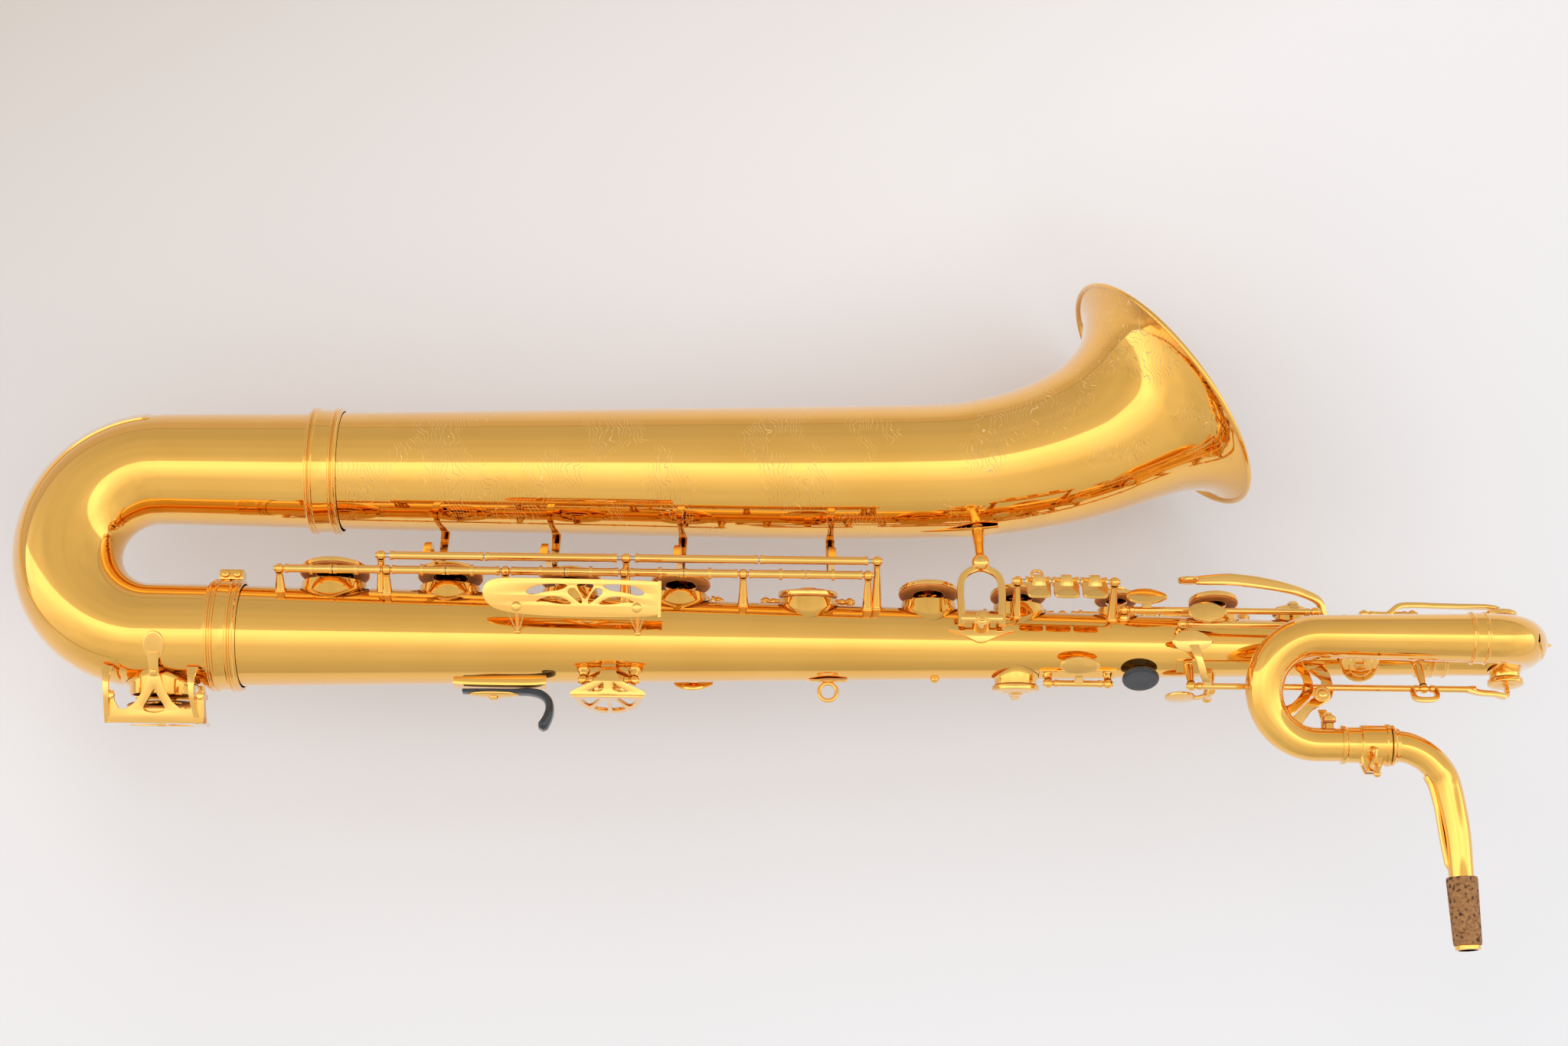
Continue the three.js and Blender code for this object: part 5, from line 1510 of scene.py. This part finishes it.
def show_neck():
    path = smooth_path(NECK_POINTS, 14)
    shares, taper = [0, 0.14, 0.3, 0.57, 0.71, 0.86, 1], [10.4, 10.3, 10.1, 9.7, 9, 8.3, 7.6]
    radii = np.interp(np.linspace(0, 1, len(path)), shares, taper)
    tenon = [(8.9, 906), (10.35, 906), (10.35, 928.4), (13.4, 928.6), (13.8, 930)]
    tenon += [(12.2, 931.6), (11.4, 934), (8.9, 934)]
    shapes = [tube(path, radii, 72, 1.1)]
    shapes.append(turned(tenon, vec(NECK_X, NECK_Y, 0), UP, 72, 0.4, looped=True))
    brace = [(25.2, 95, 951.5), (23, 102, 955), (20, 116, 958.5), (16.8, 138, 961.6)]
    brace.append((14.8, 152, 964.4))
    shapes.append(bar(brace, 4.6, [4, 3.4, 3, 3.2, 4], ACROSS, 10, 5))
    shapes.append(ball(vec(24.6, 95.5, 954.5), 2.6, 20))
    shapes.append(ball(vec(14.5, 152.6, 965.8), 2.6, 20))
    end = vec(*NECK_POINTS[-1])
    tip = [(6.6, -3.4), (8.2, -3.4), (8.5, -2.4), (8.3, 0.2), (6.6, 0.2)]
    shapes.append(turned(tip, end, unit(vec(-1.2, 15, 0.6)), 64, 0.25, looped=True))
    put("neck", shapes, BRASS, "neck")


def show_neck_cork():
    path = smooth_path([(14.2, 160, 973.1), (12.2, 182, 974), (10.3, 204, 974.9)], 14)
    shares, taper = [0, 0.03, 0.97, 1], [9.9, 10.3, 9.3, 8.9]
    radii = np.interp(np.linspace(0, 1, len(path)), shares, taper)
    put("neck_cork", [tube(path, radii, 72, 1.0)], CORK, "neck")


def show_neck_screw():
    axis = vec(NECK_X, NECK_Y + 16.5, CLAMP_Z)
    shapes = [between(axis - ACROSS * 4, axis + ACROSS * 15, 1.6, sides=24)]
    boss = [(0, 0), (3.1, 0), (3.5, 1.2), (2.6, 3.4), (3.2, 5), (3.2, 7.4), (0, 7.8)]
    shapes.append(turned(boss, axis + ACROSS * 10, ACROSS, 32, 0.4))
    for side in (-1, 1):
        wing = chain(axis, (15, 0, 0), (17.6, side * 4, 0), (18.6, side * 8.6, 0))
        shapes.append(bar(wing, [4, 5.4, 6.6], [3, 2.4, 2.2], BACK, 8, 3))
        shapes.append(ball(wing[-1] - vec(0.4, side * 0.8, 0), 2.5, 24))
    put("neck_screw", shapes, KEY_BRASS, "neck_screw")


# Distance behind the body's axis, height, width and thickness along the hook.
THUMB_HOOK = [
    (37.4, 312, 9, 2.6),
    (37.5, 330, 11, 3),
    (37.6, 346, 11, 3.4),
    (37.4, 357, 11, 4.2),
    (39.4, 365.4, 12, 5.2),
    (44, 370, 13, 5.6),
    (50, 371, 13, 5.8),
    (56, 369.6, 13, 6.6),
    (61, 367, 12, 7.4),
    (63.4, 365.8, 7, 4),
]


def show_thumb_hook():
    depth, height, width, thickness = np.array(THUMB_HOOK).T
    hook = bar([(0, y, z) for y, z in zip(depth, height)], width, thickness, ACROSS, 10, 3)
    put("thumb_hook", [hook], PLASTIC, "thumb_hook")
    screw = [(0, 2.6), (2.6, 2.4), (3.4, 1.2), (3.4, 0), (0, 0)]
    plate = [leaf(vec(0, 39.9, 333), BACK, 12, 34, 1.6, 0, 1.4)]
    plate.append(turned(screw, vec(0, 40.6, 333), BACK, 40, 0.4))
    add_piece("thumb_hook_screw", plate, KEY_BRASS, "thumb_hook")


# ------------------------------------------------------------------ stage
VIEW_TURN = 20.0
CAMERA_DISTANCE = 1900.0
ROLL = 0.7
AIM = vec(27.7, -76.1, 527)


def to_row(point):
    return Vector(((np.asarray(point) + SHIFT) / 1000).tolist())


def view_axes():
    turn, roll = math.radians(VIEW_TURN), math.radians(ROLL)
    back = vec(math.cos(turn), math.sin(turn), 0)
    up = vec(math.sin(turn), -math.cos(turn), 0)
    right = math.cos(roll) * UP + math.sin(roll) * up
    lifted = -math.sin(roll) * UP + math.cos(roll) * up
    return right, lifted, back


def add_camera():
    right, up, back = view_axes()
    data = bpy.data.cameras.new("camera")
    data.sensor_width = 36
    data.lens = 64.3
    camera = bpy.data.objects.new("camera", data)
    turn = Matrix([right, up, back]).transposed().to_4x4()
    camera.matrix_world = Matrix.Translation(to_row(AIM + back * CAMERA_DISTANCE)) @ turn
    bpy.context.scene.collection.objects.link(camera)
    bpy.context.scene.camera = camera


TABLE_DEPTH = 171.0
TABLE_REACH = 9000.0


def add_floor():
    """A pale table behind the instrument as the camera sees it, with a painted light falloff in its
    colour. It is clear from behind.
    """
    look = Look("table", Roughness=0.7)
    right, up, back = view_axes()
    # Painted light falloff: the table's grey runs from a dark shaded tone to pale along a diagonal of
    # the camera's view, standing in for how the studio light falls across it.
    share = look.add("MapRange", From_Min=-0.55, From_Max=0.75)
    look.link(look.dot(look.coords(), 0.5 * right - up), share.inputs["Value"])
    painted_falloff_greys = [(0.0, (0.515, 0.46, 0.415)), (0.45, (0.745, 0.725, 0.73)), (1.0, (0.735, 0.74, 0.765))]
    look.drive("Base Color", look.ramp(share.outputs["Result"], painted_falloff_greys))
    look.bump(look.noise(300, 3), 0.02, 0.0004)
    mix = look.add("MixShader")
    look.link(look.add("NewGeometry").outputs["Backfacing"], mix.inputs["Fac"])
    look.link(look.shader.outputs["BSDF"], mix.inputs[1])
    look.link(look.add("BsdfTransparent").outputs["BSDF"], mix.inputs[2])
    look.link(mix.outputs["Shader"], look.nodes["Material Output"].inputs["Surface"])
    centre = AIM - back * TABLE_DEPTH
    signs = [(-1, -1), (1, -1), (1, 1), (-1, 1)]
    corners = [to_row(centre + TABLE_REACH * (a * right + b * up)) for a, b in signs]
    mesh = bpy.data.meshes.new("table")
    mesh.from_pydata(corners, [], [(0, 1, 2, 3)])
    mesh.materials.append(look.material)
    table = bpy.data.objects.new("table", mesh)
    bpy.context.scene.collection.objects.link(table)


def add_softbox(name, across, lift, away, power):
    """An area light placed in the camera's axes: across, up and towards the camera, in mm."""
    right, up, back = view_axes()
    aim = vec(0, -50, 520)
    data = bpy.data.lights.new(name, "AREA")
    data.shape = "RECTANGLE"
    data.size, data.size_y = 1.5, 0.9
    data.energy = power
    data.color = (1, 0.985, 0.97)
    light = bpy.data.objects.new(name, data)
    place = to_row(aim + right * across + up * lift + back * away)
    facing = (place - to_row(aim)).normalized()
    turn = facing.to_track_quat("Z", "Y").to_matrix().to_4x4()
    light.matrix_world = Matrix.Translation(place) @ turn
    light.visible_glossy = False
    bpy.context.scene.collection.objects.link(light)


# Studio brightness by the sine of the height above the camera's axis: a soft bright strip
# a little above the axis, an even tent around it.
STUDIO_LEVELS = [
    (-1.0, 0.62),
    (-0.8, 0.74),
    (-0.5, 0.86),
    (-0.3, 0.96),
    (-0.1, 1.3),
    (0.0, 1.5),
    (0.1, 1.75),
    (0.26, 1.8),
    (0.285, 0.92),
    (0.5, 0.78),
    (0.8, 0.68),
    (1.0, 0.6),
]
STUDIO_PEAK = 1.8
PALE = (0.8, 0.775, 0.765, 1)


def add_world():
    """A white tent with one soft bright strip, seen in reflections; plain pale to the camera."""
    world = bpy.data.worlds.new("studio")
    world.use_nodes = True
    tent = Nodes(world.node_tree)
    view = tent.coords("Generated")
    share = tent.add("MapRange", From_Min=-1)
    tent.link(tent.dot(view, view_axes()[1]), share.inputs["Value"])
    tint = np.array([1, 0.99, 0.98]) / STUDIO_PEAK
    stops = [((height + 1) / 2, level * tint) for height, level in STUDIO_LEVELS]
    levels = tent.ramp(share.outputs["Result"], stops)
    clouds = tent.add("TexNoise", Scale=2.2)
    tent.link(view, clouds.inputs["Vector"])
    lit = tent.add("VectorMath")
    lit.operation = "SCALE"
    tent.link(levels, lit.inputs[0])
    soft = tent.scaled(clouds.outputs["Fac"], 0.8 * STUDIO_PEAK, 1.2 * STUDIO_PEAK)
    tent.link(soft, lit.inputs["Scale"])
    ends = tent.mix_colour(tent.add("LightPath").outputs["Is Camera Ray"])
    ends["B_Color"].default_value = PALE
    tent.link(lit.outputs["Vector"], ends["A_Color"])
    tent.link(ends["Result_Color"], tent.nodes["Background"].inputs["Color"])
    bpy.context.scene.world = world


def add_stage():
    add_camera()
    add_floor()
    add_softbox("key_light", -500, 1500, 1500, 9)
    add_softbox("fill_light", 900, -1300, 1700, 7)
    add_world()
    scene = bpy.context.scene
    scene.view_settings.view_transform = "Standard"
    scene.view_settings.look = "None"


show_body_tube()
show_needle_springs()
show_bow()
show_bell()
show_crook()
show_body_bow_ring()
show_bell_bow_ring()
show_bell_brace()
show_crook_bracket()
show_bow_key_guard()
show_trill_key_guard()
show_bell_key_guard()
show_stack_guard()
show_strap_ring()
show_thumb_rest()
show_steel_rods()
show_front_rod_sleeves()
show_stack_keys()
show_bell_keys()
show_table()
show_sprung_keys()
show_palm_f_key()
show_high_e_key()
show_front_f_lever()
show_thumb_levers()
show_octave_vent_key()
show_low_c_key()
show_neck()
show_neck_cork()
show_neck_screw()
show_thumb_hook()
add_stage()
